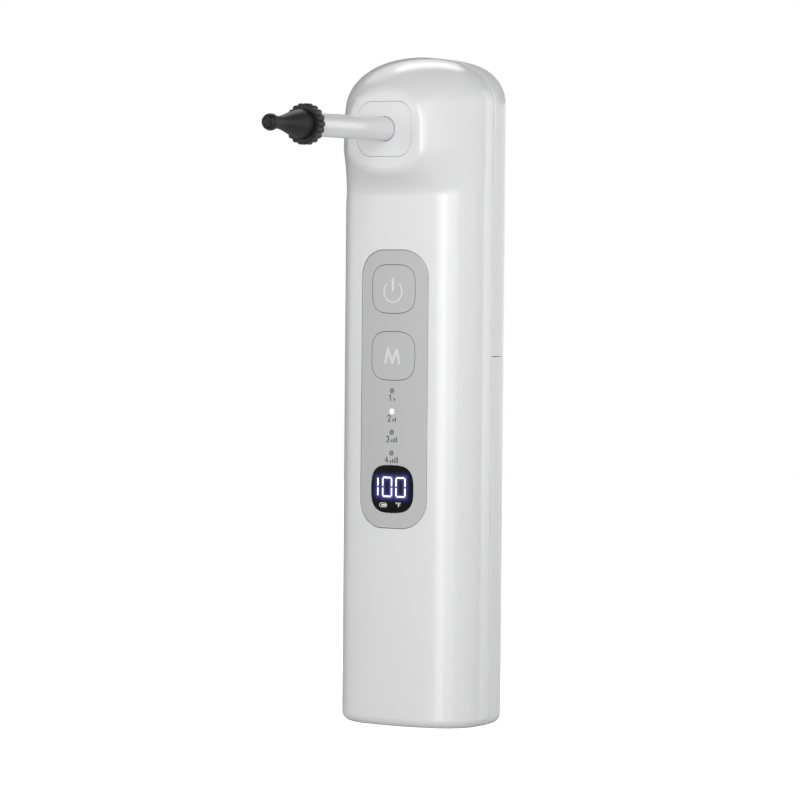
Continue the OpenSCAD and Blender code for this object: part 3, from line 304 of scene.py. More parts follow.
# Outward normal of the form at points on it: the cross product of two small steps along it
def housingNormal(points):
    s = body
    x, y, z = points.T
    z = np.clip(z, 0.02, s["height"] - 0.004)
    a, f, r, n = section(z)
    front = y < s["widestY"]
    power = np.where(front, n, s["rearPower"])
    c = np.clip(np.abs(x) / a, 0, 1) ** (power / 2)
    deep = np.clip(np.abs(y - s["widestY"]) / np.where(front, f, r), 0, 1) ** (power / 2)
    t = np.where(c > 0.75, np.arctan2(deep, np.maximum(c, 1e-6)), np.arccos(np.clip(c, 0, 1)))
    t = np.where(x < 0, np.pi - t, t) * np.where(front, -1, 1)
    e, h = 0.012, np.minimum(0.03, (s["height"] - z) / 2)
    nrm = np.cross(housingPoint(t + e, z) - housingPoint(t - e, z),
                   housingPoint(t, z + h) - housingPoint(t, z - h))
    return nrm / np.maximum(np.linalg.norm(nrm, axis=1, keepdims=True), 1e-9)


# One property of a mesh's vertices, corners or faces as an array, in rows of the given width
def gathered(items, key, width=1, kind=float):
    flat = np.empty(len(items) * width, kind)
    items.foreach_get(key, flat)
    return flat.reshape(-1, width) if width > 1 else flat


# Points and faces become an object; where the volume comes out negative the faces are turned round
def fromArrays(name, points, faces):
    me = bpy.data.meshes.new(name)
    me.from_pydata((np.asarray(points, float).reshape(-1, 3) * mm).tolist(), [], faces)
    me.update()
    me.calc_loop_triangles()
    p = gathered(me.vertices, "co", 3)[gathered(me.loop_triangles, "vertices", 3, np.int32)]
    if np.einsum("ij,ij->", p[:, 0], np.cross(p[:, 1], p[:, 2])) < 0:
        me.flip_normals()
    return linked(name, me)


# Faces over m closed loops of k points, wrapped round or capped at each end; a mirrored cap is made of
# strips between a loop's upper half and its lower one
def gridFaces(m, k, wrap=False, mirrored=False):
    i, j = np.meshgrid(np.arange(m if wrap else m - 1), np.arange(k), indexing="ij")
    a, b = i * k + j, i * k + (j + 1) % k
    up = np.where(i == m - 1, -(m - 1) * k, k)
    faces = np.stack([a, b, b + up, a + up], -1).reshape(-1, 4).tolist()
    last = (m - 1) * k
    if mirrored:
        h = np.arange(k // 2 - 1)
        strip = np.stack([h, k - 1 - h, k - 2 - h, h + 1], -1)
        faces += strip.tolist() + (strip[:, ::-1] + last).tolist()
    elif not wrap:
        faces += [np.arange(k)[::-1].tolist(), (last + np.arange(k)).tolist()]
    return faces


def closedRows(name, rows, wrap=False, mirrored=False):
    rows = np.asarray(rows)
    return fromArrays(name, rows, gridFaces(*rows.shape[:2], wrap, mirrored))


# Rings of the form from low to high: close together at the base, in the swell and in the dome
def housingRows(cut, around, low, high, steps):
    s = body
    dome = s["frontDome"][0]
    z = np.concatenate([
        cut + (s["baseRound"] - cut * 0.5) * (1 - np.cos(quarter(12))),
        np.linspace(s["headLow"] - s["headLead"] - 0.5, s["headHigh"], steps),
        s["height"] - dome + (dome - cut) * np.sin(quarter(steps + 8))])
    z = np.unique(np.round(np.concatenate([[low], z[(z > low + 0.05) & (z < high - 0.02)], [high]]), 5))
    t = wholeTurn(around)
    return housingPoint(*np.meshgrid(t, z), cut)


# Upright solid over a ring of (x, y) points
def raised(name, ring, z0, z1):
    return closedRows(name, [np.column_stack([ring, np.full(len(ring), z)]) for z in (z0, z1)])


def block(name, x0, y0, z0, x1, y1, z1):
    return raised(name, [[x0, y0], [x1, y0], [x1, y1], [x0, y1]], z0, z1)


# Well past the housing: sideways, below and above
far, below, above = 60, -5, 260


# Slab wider and taller than the object, from one depth to another
def slab(name, y0, y1):
    return block(name, -far, y0, below, far, y1, above)


# Upper half of a loop and its mirror image below
def mirroredLoop(half):
    return np.concatenate([half, half[::-1] * [1, -1]])


def roundedLoop(w, h, r, steps=12, across=10):
    corner = circle(r, quarter(steps), w / 2 - r, h / 2 - r)
    top = np.linspace(w / 2 - r, r - w / 2, across + 1)[1:-1]
    return mirroredLoop(np.concatenate([
        corner, np.column_stack([top, np.full(len(top), h / 2)]), corner[::-1] * [-1, 1]]))


# A rounded loop made wider by a gap all round
def widened(w, h, r, gap, steps):
    return roundedLoop(w + 2 * gap, h + 2 * gap, r + gap, steps)


# Soft square whose sides bow out a little: |x|^n + |z|^n = 1, scaled
def squareLoop(size, power, steps=56):
    t = (np.arange(steps) + 0.5) * np.pi / steps
    c, s = np.cos(t), np.sin(t)
    rad = (np.abs(c) ** power + np.abs(s) ** power) ** (-1 / power)
    return mirroredLoop(np.column_stack([size[0] / 2 * rad * c, size[1] / 2 * rad * s]))


def circleLoop(r, steps=24):
    return squareLoop((2 * r, 2 * r), 2, steps)


# The loop moved outwards by d along its own normals
def grown(loop, d):
    along = np.roll(loop, -1, 0) - np.roll(loop, 1, 0)
    n = np.column_stack([along[:, 1], -along[:, 0]])
    return loop + d * n / np.linalg.norm(n, axis=1, keepdims=True)


# The loop stood up in the x-z plane about a middle, at depth y
def upright(loop, middle, y):
    return np.column_stack([loop[:, 0] + middle[0], np.full(len(loop), y) if np.ndim(y) == 0 else y,
                            loop[:, 1] + middle[1]])


def prism(name, loop, middle, y0, y1):
    return closedRows(name, [upright(loop, middle, y0), upright(loop, middle, y1)])


def rodY(name, x, z, r, y0, y1, around=24):
    return prism(name, circleLoop(r, around), (x, z), y0, y1)


def rodX(name, y, z, r, x0, x1, around=24):
    loop = circleLoop(r, around)
    return closedRows(name, [np.column_stack([np.full(len(loop), x), loop[:, 0] + y, loop[:, 1] + z])
                             for x in (x0, x1)])


# Rows of a straight wall from depth y and of a quarter round at skin(x), outwards if rim is above zero;
# way is -1 on the front and 1 on the rear. Gives the last loop too
def roundedWall(loop, middle, skin, y, rim, way, steps):
    rows = [upright(loop, middle, y)]
    for q in quarter(steps):
        g = grown(loop, rim * (1 - np.cos(q)))
        rows.append(upright(g, middle, skin(g[:, 0] + middle[0]) - way * abs(rim) * (1 - np.sin(q))))
    return rows, g


# Plate with a flat back and a rounded rim
def plate(name, loop, middle, skin, back, rim, way=-1):
    return closedRows(name, roundedWall(loop, middle, skin, back, -rim, way, 6)[0], mirrored=True)


# Cutter for a pocket that flares out at the skin, and goes on well past it
def recess(name, loop, middle, skin, floor, rim, way=-1, past=12):
    rows, g = roundedWall(loop, middle, skin, floor, rim, way, 5)
    return closedRows(name, rows + [upright(g, middle, skin(g[:, 0] + middle[0]) + way * past)])


def flatSkin(y):
    return lambda x: np.full(np.shape(x), float(y))


# Turned piece about an axis along y; profile rows are (radius, y), with one radius or one for each step
def turned(name, profile, axisZ, steps, wrap=True):
    a = wholeTurn(steps)
    return closedRows(name, [upright(circle(r, a), (0, axisZ), y) for r, y in profile], wrap)


# Takes the others out of ob, or joins them to it, then removes them
def combine(ob, others, how="DIFFERENCE"):
    for other in others:
        mod = ob.modifiers.new("cut", "BOOLEAN")
        mod.operation, mod.object, mod.solver = how, other, "MANIFOLD"
    bake(ob)
    for other in others:
        bpy.data.objects.remove(other)
    return ob


def bake(ob):
    dg = bpy.context.evaluated_depsgraph_get()
    me = bpy.data.meshes.new_from_object(ob.evaluated_get(dg), preserve_all_data_layers=True,
                                         depsgraph=dg)
    ob.modifiers.clear()
    old, ob.data = ob.data, me
    me.name = ob.name
    bpy.data.meshes.remove(old)


# Smooth where faces meet at less than the angle, with the larger faces ruling the normals
def soften(ob, angle=35):
    ob.data.shade_smooth()
    ob.data.set_sharp_from_angle(angle=math.radians(angle))
    mod = ob.modifiers.new("normals", "WEIGHTED_NORMAL")
    mod.keep_sharp = True
    bake(ob)
    return ob


# The weighted normals of a housing piece, and the exact ones of the form where faces lie on it
def softenHousing(ob, tolerance=0.12):
    soften(ob)
    me = ob.data
    co = gathered(me.vertices, "co", 3) / mm
    vert = gathered(me.loops, "vertex_index", kind=np.int32)
    flat, current = gathered(me.polygons, "normal", 3), gathered(me.corner_normals, "vector", 3)
    face = np.repeat(np.arange(len(flat)), gathered(me.polygons, "loop_total", kind=np.int32))
    exact = housingNormal(co)
    beyondLip = np.abs(co[:, 1]) > body["seamHalf"] + body["seamLip"] - 0.002
    good = np.einsum("ij,ij->i", exact[vert], flat[face]) > 1 - tolerance
    good &= (onForm(co) & beyondLip)[vert]
    whole = np.ones(len(flat), bool)
    np.logical_and.at(whole, face, good)
    normals = np.where(whole[face][:, None], exact[vert], current)
    me.normals_split_custom_set(normals.tolist())
    me.update()


# Whether each point lies on the form's outside, to the tolerance or a little more at its steep sides
def onForm(co, tolerance=0.12):
    s = body
    x, y, z = co.T
    a, f, r, n = section(np.clip(z, 0.001, s["height"]))
    front = y < s["widestY"]
    power = np.where(front, n, s["rearPower"])
    d = np.where(front, f, r) * np.maximum(0, 1 - np.clip(np.abs(x) / a, 0, 1) ** power) ** (1 / power)
    d = np.where(front, softMin(d, s["seatDepth"], s["seatBlend"]), d)
    slope = 1 + 3 * (np.abs(x) / a) ** 8
    level = (z < 0.01) | (z > s["height"] - 0.02)
    return level | (np.abs(np.abs(y - s["widestY"]) - d) < tolerance * slope)


# Outline of the form at depth y, from the base up the right side, over the top and down the left
def seamLoop(y):
    s = body
    base, dome = s["baseRound"], s["sideDome"][0]
    z = np.concatenate([base * (1 - np.cos(quarter(12))),
                        np.linspace(base, s["height"] - dome, 24)[1:],
                        s["height"] - dome + dome * np.sin(quarter(60))[1:-1]])
    a, _, r, _ = section(z)
    n = s["rearPower"]
    x = a * np.maximum(0, 1 - np.minimum(1, (y - s["widestY"]) / r) ** n) ** (1 / n)
    half = np.column_stack([x, z])[x > 0.05]
    return np.concatenate([half, half[::-1] * [-1, 1]])


# Cutter that rounds a housing piece's lip along the seam: a square corner less a quarter circle,
# carried round the outline; way is the piece's side of the seam
def lipCutter(way):
    y0, r, past = way * body["seamHalf"], body["seamLip"], 0.2
    profile = [(-r, y0 - way * past)]
    profile += [(r * math.sin(q) - r, y0 + way * r * (1 - math.cos(q))) for q in quarter(7)]
    profile += [(1, y0 + way * r), (1, y0 - way * past)]
    loop = seamLoop(y0 + way * r)
    return closedRows("lipCutter", [upright(grown(loop, u), (0, 0), y) for u, y in profile], wrap=True)


# Gives a piece the material of its slot, or the one given, and its body, and hides the CAD nodes that it
# replaces
def finishPiece(ob, bodyName, slotName, *replaced, material=None):
    ob.data.materials.clear()
    ob.data.materials.append(material or finishes[slotName])
    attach(ob, bodyName)
    if replaced:
        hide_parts(*replaced)


(panelLow, panelHigh), (seatLow, seatHigh) = corners("control_panel"), corners("nozzle_seat")
(flapLow, flapHigh), (guideLow, guideHigh) = corners("port_cover"), corners("light_guides")
keyFront, keyRear = footprint("power_button"), corners("power_button")[1]
panel = dict(**footprint("control_panel"), corner=8.5, faceY=panelLow[1], faceRadius=55.0,
             floorY=panelHigh[1] + 0.05, ledge=1.6, gap=0.16, rim=0.14, holeRim=0.06, ledgeRim=2.5)
key = dict(flange=0.7, flangeY=-18.7, flangeDepth=0.6, power=3.3, rim=0.12, stemRadius=2.1,
           size=(keyFront["width"] - 1.4, keyFront["height"] - 1.4),
           middles=[keyFront["middle"], footprint("mode_button")["middle"]])
window = dict(**footprint("display_lens"), rearY=corners("display_lens")[1][1], power=3.1, rim=0.2)
lights = dict(radius=guideHigh[0], count=4, lit=2)
lights["heights"] = lights["radius"] + np.linspace(guideLow[2], guideHigh[2] - 2 * lights["radius"],
                                                   lights["count"])
seat = dict(**footprint("nozzle_seat"), corner=5.0, rim=0.12, faceY=seatLow[1], floorY=seatHigh[1],
            gap=0.08)
nozzleZ = seat["middle"][1]
flap = dict(gap=0.3, corner=0.8, barrel=0.6, thick=1.0, rim=0.25, plug=0.9,
            plugHalf=0.85, plugZ=(20.4, 27.6), notch=(1.2, 1.5, 2))
tongue = dict(half=8.0, depth=3.5, height=1.6)


# Skins give the depth at x. This one is a circle about an upright axis inside the object
def roundSkin(faceY, r, way):
    return lambda x: faceY - way * r + way * np.sqrt(r * r - x * x)


# The housing's plain part: y = widest + way depth (1 - |x / half|^n)^(1/n)
def housingSkin(way, depth, n):
    def skin(x):
        share = (1 - (np.abs(x) / body["halfWidth"]) ** n) ** (1 / n)
        return body["widestY"] + way * depth * share

    return skin


panelSkin = roundSkin(panel["faceY"], panel["faceRadius"], -1)
frontSkin = housingSkin(-1, body["frontDepth"], body["frontPower"])
rearSkin = housingSkin(1, body["rearDepth"], body["rearPower"])


def keyLoop():
    return squareLoop(key["size"], key["power"])


def windowLoop():
    return squareLoop((window["width"], window["height"]), window["power"])


def panelLoop():
    return roundedLoop(panel["width"], panel["height"], panel["corner"], 20)


def shellSolid(name, low, high, wall, innerLow, innerHigh):
    outer = closedRows(name, housingRows(0.0, 256, low, high, 56))
    inner = closedRows(name + "Inner", housingRows(wall, 96, innerLow, innerHigh, 24))
    return combine(outer, [inner])


# Inside of the front shell: the panel's ledge, the seat's backing (side, front, rear, rise), the pad and
# hole at the charging socket, the share of a key that its hole lets through, and the arm's bore
shellPads = dict(ledgeLess=0.2, ledgeLap=0.7, backing=(11.3, 1.3, 2, 10), padLess=1.0, padThick=1.9,
                 padLow=(1.2, 1.8), padRearY=-2.35, padHigh=1.2, portHole=(-7.0, 19.4, -3.4, 28.6),
                 portSide=-20, share=0.93, lightSlack=0.1, bore=(5.65, 1, 6))


def makeFrontShell():
    p, w, s, edge = panel, body["wall"], shellPads, -body["halfWidth"]
    shell = shellSolid("frontShell", 0.0, body["height"], w, w, body["height"] - w)
    half, z = p["width"] / 2 + p["ledgeRim"] - s["ledgeLess"], nozzleZ
    ledge = block("ledge", -half, p["floorY"] - s["ledgeLap"], panelLow[2] - p["ledgeRim"], half,
                  p["floorY"] + p["ledge"], panelHigh[2] + p["ledgeRim"])
    side, front, rear, rise = s["backing"]
    backing = block("backing", -side, seat["faceY"] + front, z - rise,
                    side, seat["floorY"] + rear, z + rise)
    low, high, gap = flapLow, flapHigh, flap["gap"]
    pad = block("pad", s["padLess"] + edge, low[1] - s["padLow"][0], low[2] - s["padLow"][1],
                w + s["padThick"] + edge, s["padRearY"], high[2] + s["padHigh"])
    combine(shell, [ledge, backing, pad], "UNION")
    loop = widened(p["width"], p["height"], p["corner"], p["gap"], 20)
    seatLoop = widened(seat["width"], seat["height"], seat["corner"], seat["gap"], 16)
    pocketEnd = p["floorY"] + p["ledge"] + 1
    radius, fromFace, pastFloor = s["bore"]
    cuts = [
        slab("rearHalf", -body["seamHalf"], far),
        recess("panelPocket", loop, p["middle"], frontSkin, p["floorY"], p["rim"]),
        recess("seatPocket", seatLoop, seat["middle"], flatSkin(seat["faceY"]), seat["floorY"], 0.1),
        rodY("socketHole", 0, z, radius, seat["faceY"] + fromFace, seat["floorY"] + pastFloor),
        prism("windowHole", windowLoop() * s["share"], window["middle"], p["floorY"] - 1, pocketEnd),
        block("portPocket", -30, low[1] - gap, low[2] - gap, low[0] + flap["thick"] + gap, high[1] + gap,
              high[2] + gap),
        block("portHole", -30, *s["portHole"][:2], s["portSide"], *s["portHole"][2:])]
    cuts += [prism("keyHole", keyLoop() * s["share"], m, p["floorY"] - 1, pocketEnd)
             for m in key["middles"]]
    cuts += [rodY("lightHole", 0, h, lights["radius"] + s["lightSlack"], p["floorY"] - 1, pocketEnd)
             for h in lights["heights"]] + [lipCutter(-1)]
    combine(shell, cuts)
    combine(shell, [block("tongue", -tongue["half"], -w - 1, 0, tongue["half"], tongue["depth"],
                          tongue["height"])], "UNION")
    softenHousing(shell)
    finishPiece(shell, "root", "shell_white", "front_shell")


makeFrontShell()
print("front shell made")


# Screw holes in the cover's underside: radius and depth of each step
screws = dict(x=13, y=9, head=(1.9, 1.5), shank=(1.1, 5), floor=3)


def makeRearCover():
    low, w = coverLow[2], body["wall"]
    cover = shellSolid("rearCover", low, body["height"], w, low + screws["floor"], body["height"] - w)
    cuts = [slab("frontHalf", -far, body["seamHalf"])]
    for side in (-screws["x"], screws["x"]):
        for r, depth in (screws["head"], screws["shank"]):
            ring = circle(r, wholeTurn(32), side, screws["y"])
            cuts.append(raised("screwHole", ring, low - 1, low + depth))
    combine(cover, cuts + [lipCutter(1)])
    softenHousing(cover)
    finishPiece(cover, "root", "shell_white", "rear_cover")


makeRearCover()
print("rear cover made")

lidLow = corners("tank_lid")[0]
pinLow, pinHigh = corners("lid_pin")
dockLow, dockHigh = corners("tank_outlet_valve")
pinY, pinZ = (pinLow[1] + pinHigh[1]) / 2, (pinLow[2] + pinHigh[2]) / 2
lid = dict(width=21.4, height=19.0, corner=2.5, thick=1.3, faceRadius=72.0,
           faceY=body["rearDepth"] + body["widestY"], gap=0.35, lowZ=lidLow[2], rim=0.3, tab=3,
           tabUnder=0.25, knuckle=1.35, knuckleHalf=6.0, pin=(pinHigh[2] - pinLow[2]) / 2,
           roomY=0.95, roomZ=2.8, slotZ=2.3, notch=(0.3, 0.8, 4))
lid["topZ"] = lid["lowZ"] + lid["height"]
lid["middle"] = (0, lid["lowZ"] + lid["height"] / 2)
lid["innerY"] = lid["faceY"] - lid["thick"]
mouth = dict(**footprint("lid_seal"), slack=0.7, corner=2.5, fromY=6)
dock = dict(x=(dockLow[0] + dockHigh[0]) / 2, z=(dockLow[2] + dockHigh[2]) / 2, bore=2.5, boss=4.2,
            depth=9.0)


lidSkin = roundSkin(lid["faceY"], lid["faceRadius"], 1)


tankWalls = dict(plain=1.8, keel=2.2, lidPad=3.2, clear=0.3)


def makeTank():
    wall, keel, pad, clear = tankWalls.values()
    top, front = tankHigh[2], body["seamHalf"]
    inside = closedRows("tankInside", housingRows(wall, 128, wall, top - wall, 16))
    combine(inside, [
        slab("frontWall", -far, front + wall),
        block("keel", -tongue["half"] - 2, 0, -1, tongue["half"] + 2, tongue["depth"] + keel,
              tongue["height"] + keel),
        block("lidPad", -lid["width"] / 2 - 2, lid["innerY"] - lid["gap"] - pad, lid["lowZ"] - 2,
              lid["width"] / 2 + 2, far, above),
        rodY("dockBoss", dock["x"], dock["z"], dock["boss"], 0, dock["depth"])])
    tank = closedRows("tankShell", housingRows(0.0, 256, 0.0, top, 24))
    g, k = lid["gap"], lid["knuckleHalf"] + clear
    pocketLoop = widened(lid["width"], lid["height"], lid["corner"], g, 12)
    mouthLoop = roundedLoop(mouth["width"] + mouth["slack"], mouth["height"] + mouth["slack"],
                            mouth["corner"])
    combine(tank, [
        inside,
        slab("frontHalf", -far, front),
        block("tongueNotch", -tongue["half"] - clear, -1, -1, tongue["half"] + clear,
              tongue["depth"] + clear, tongue["height"] + clear),
        recess("lidPocket", pocketLoop, lid["middle"], rearSkin, lid["innerY"] - g, lid["rim"], 1),
        block("lidRoom", -lid["width"] / 2 - g, pinY + lid["roomY"], lid["topZ"] - lid["tab"],
              lid["width"] / 2 + g, far, pinZ + lid["roomZ"]),
        block("knuckleSlot", -k, pinY - lid["knuckle"] - clear, lid["topZ"] - 0.2, k, far,
              pinZ + lid["slotZ"]),
        rodX("pinBore", pinY, pinZ, lid["pin"], pinLow[0], pinHigh[0]),
        prism("mouth", mouthLoop, mouth["middle"], mouth["fromY"], far),
        rodY("dockBore", dock["x"], dock["z"], dock["bore"], -1, dock["depth"] + 1), lipCutter(1)])
    softenHousing(tank)
    finishPiece(tank, "tank", "shell_white", "water_tank")


def makeLid():
    ob = plate("fillLid", roundedLoop(lid["width"], lid["height"], lid["corner"]), lid["middle"], lidSkin,
               lid["innerY"], lid["rim"], 1)
    k = lid["knuckleHalf"]
    past, radius, half = lid["notch"]
    combine(ob, [block("tab", -k, lid["innerY"], lid["topZ"] - lid["tab"], k,
                       lid["faceY"] - lid["tabUnder"], pinZ),
                 rodX("knuckle", pinY, pinZ, lid["knuckle"], -k, k, 32)], "UNION")
    combine(ob, [rodX("pinBore", pinY, pinZ, lid["pin"] + 0.05, -2 * k, 2 * k),
                 rodX("nailNotch", lid["faceY"] + past, lid["lowZ"], radius, -half, half)])
    soften(ob)
    finishPiece(ob, "tank_lid", "shell_white", "tank_lid")


makeTank()
makeLid()
print("tank and lid made")


def makePanel():
    p = panel
    ob = plate("controlPanel", panelLoop(), p["middle"], panelSkin, panelHigh[1], p["rim"])
    cuts = []
    for m in key["middles"]:
        cuts += [recess("keyHole", grown(keyLoop(), p["gap"]), m, panelSkin, p["floorY"] + 1,
                        p["holeRim"]),
                 prism("flangeRoom", grown(keyLoop(), p["gap"] + key["flange"]), m,
                       key["flangeY"] - 0.1, p["floorY"] + 1)]
    cuts.append(recess("windowHole", grown(windowLoop(), p["gap"]),
                       window["middle"], panelSkin, p["floorY"] + 1, p["holeRim"]))
    cuts += [rodY("lightHole", 0, h, lights["radius"] + 0.05, p["floorY"] + 1, p["faceY"] - 1)
             for h in lights["heights"]]
    combine(ob, cuts)
    soften(ob)
    finishPiece(ob, "root", "panel_grey", "control_panel")


def makeKey(name, middle, bodyName):
    ob = plate(name, keyLoop(), middle, panelSkin, key["flangeY"] + 0.3, key["rim"])
    back = key["flangeY"] + key["flangeDepth"]
    combine(ob, [prism("flange", grown(keyLoop(), key["flange"]), middle, key["flangeY"], back),
                 rodY("stem", 0, middle[1], key["stemRadius"], back - 0.2, keyRear[1])], "UNION")
    soften(ob)
    finishPiece(ob, bodyName, "button_grey", bodyName)


# Painted shade in a gap at the panel: a dark ring in the seal rubber's material under the skin, from the
# loop to the gap's far side, darkening the gap where only shade falls
def gapShadeRing(name, loop, middle, depth, thick=0.4, clear=0.005):
    inner, outer = grown(loop, clear), grown(loop, panel["gap"] - clear)
    rows = [upright(ring, middle, panelSkin(ring[:, 0] + middle[0]) + depth + back)
            for ring, back in ((outer, 0), (outer, thick), (inner, thick), (inner, 0))]
    finishPiece(closedRows(name, rows, wrap=True), "root", "seal_rubber")


makePanel()
# Painted shade: dark rings in the gaps round the panel and the two keys
gapShadeRing("panelGapShade", panelLoop(), panel["middle"], 0.3)
for number, place in enumerate(key["middles"]):
    gapShadeRing("keyGapShade" + str(number + 1), keyLoop(), place, 0.16)
makeKey("powerKey", key["middles"][0], "power_button")
makeKey("modeKey", key["middles"][1], "mode_button")
print("panel and keys made")


# Points of a circle's arc from one angle to another, in degrees from the right
def arc(x, z, r, a0, a1, steps=28):
    return circle(r, np.radians(np.linspace(a0, a1, steps)), x, z)


# Flat marks with round ends on the panel: each stroke is a path of (x, z) points about a middle
def strokes(name, paths, middle, bodyName, slotName, material, lift=0.012, depth=0.06):
    points, faces, base = [], [], 0
    for path, width in paths:
        path, h = np.asarray(path, float), width / 2
        along = np.gradient(path, axis=0)
        along /= np.linalg.norm(along, axis=1, keepdims=True)
        q = quarter(5)[1:]
        start = [(path[0] - along[0] * h * np.sin(a), along[0], h * np.cos(a) + 0.01) for a in q[::-1]]
        end = [(path[-1] + along[-1] * h * np.sin(a), along[-1], h * np.cos(a) + 0.01) for a in q]
        rows = []
        for at, way, half in start + [(a, w, h) for a, w in zip(path, along)] + end:
            side = np.array([-way[1], way[0]]) * half
            pair = np.stack([at + side, at - side]) + middle
            y = panelSkin(pair[:, 0])
            rows.append(np.concatenate([upright(pair, (0, 0), y - lift),
                                        upright(pair, (0, 0), y + depth)[::-1]]))
        points += rows
        faces += [[i + base for i in f] for f in gridFaces(len(rows), 4)]
        base += 4 * len(rows)
    finishPiece(fromArrays(name, points, faces), bodyName, slotName, material=material)


# Path through corner points, with more along each side so that the mark follows the curve
def through(*corner, step=0.6):
    parts = [np.array(corner[:1], float)]
    for a, b in zip(corner[:-1], corner[1:]):
        n = max(1, int(math.dist(a, b) / step))
        parts.append(np.array(a) + (np.array(b) - np.array(a)) * np.linspace(0, 1, n + 1)[1:, None])
    return np.concatenate(parts)


printed = moulded("lightPrint", (226, 226, 227), 0.98, 0.45, 0.04, 0.08)
darkPrint = moulded("darkPrint", (62, 62, 64), 0.9, 0.5, 0.04, 0.08)
litWhite = glowing("litWhite", (255, 255, 255), 1.0, 0.03)
litLamp = glowing("litLamp", (250, 250, 255), 1.0, 0.05)
litDim = glowing("litDim", (188, 185, 178), 0.8, 0.1)
marks = dict(ring=3.27, ringStroke=0.52, ringZ=-0.85, opening=46, bar=(-0.35, 3.15), barStroke=0.8,
             letter=[(-2.55, -2.2), (-1.6, 2.2), (0, -2.2), (1.6, 2.2), (2.55, -2.2)], letterStroke=0.92,
             labelDrop=2.15, digit=1.85, digitStroke=0.3, barPitch=0.8, levelStroke=0.4)
digits = [
    [through((0.12, 0.8), (0.36, 1), (0.36, 0), step=0.3)],
    [np.concatenate([arc(0.3, 0.72, 0.28, 170, -30, 12), through((0.45, 0.45), (0.02, 0), (0.6, 0),
                                                               step=0.3)])],
    [np.concatenate([arc(0.28, 0.76, 0.24, 150, -80, 10), arc(0.28, 0.27, 0.27, 80, -150, 12)])],
    [through((0.45, 0), (0.45, 1), (0, 0.3), (0.62, 0.3), step=0.3)]]


def makeMarks():
    m = marks
    ring = arc(0, m["ringZ"], m["ring"], 90 + m["opening"], 450 - m["opening"], 56)
    bar = through((0, m["bar"][0]), (0, m["bar"][1]))
    strokes("powerMark", [(ring, m["ringStroke"]), (bar, m["barStroke"])], key["middles"][0],
            "power_button", "button_grey", printed)
    sides = [(through(a, b), m["letterStroke"]) for a, b in zip(m["letter"][:-1], m["letter"][1:])]
    strokes("modeMark", sides, key["middles"][1], "mode_button", "button_grey", printed)
    levels = []
    for i, paths in enumerate(digits):
        base = lights["heights"][lights["count"] - 1 - i] - m["labelDrop"] - m["digit"] / 2
        width = 1.6 + m["barPitch"] * (i + 1)
        left = -width / 2
        levels += [(np.asarray(path) * m["digit"] + [left, base], m["digitStroke"]) for path in paths]
        for j in range(i + 1):
            x = left + 2.1 + m["barPitch"] * j
            rise = m["digit"] * (0.35 + 0.2 * j)
            levels.append((through((x, base + 0.12), (x, base + rise)), m["levelStroke"]))
    strokes("levelMarks", levels, (0, 0), "root", "panel_grey", darkPrint)


# Six sides of a nought as separate bars with gaps between them
def noughtBars(x, width, z0, z1, stroke):
    low, mid, high = z0 + stroke / 2, (z0 + z1) / 2, z1 - stroke / 2
    left, right = x + stroke / 2, x + width - stroke / 2
    trim, half = display["trim"], display["gap"]
    bars = [((side, a), (side, b)) for side in (left, right)
            for a, b in ((low + trim, mid - half), (mid + half, high - trim))]
    return bars + [((left + trim, z), (right - trim, z)) for z in (low, high)]


display = dict(one=-5.06, noughts=[(-3.4, 3.75), (1.55, 3.6)], low=-2.55, high=3.8, stroke=0.44,
               trim=0.42, gap=0.5, unit=(2.65, -5.5, 1.2), battery=(-4.35, -1.6, -5.66, -4.46), fade=-2.2)


# Distance to a box's outline: |length(max(q, 0)) + min(max(qx, qz), 0)| with q = |p - centre| - half
def outlineDistance(split, centre, half):
    q = []
    for axis, c, h in zip((0, 2), centre, half):
        off = split[axis] / mm - c
        q.append(off.maths("ABSOLUTE", off) - h)
    x, z = [v.maths("MAXIMUM", v, 0.0) for v in q]
    squared = x * x + z * z
    inside = q[0].maths("MAXIMUM", q[0], q[1])
    total = squared.maths("SQRT", squared) + inside.maths("MINIMUM", inside, 0.0)
    return total.maths("ABSOLUTE", total)


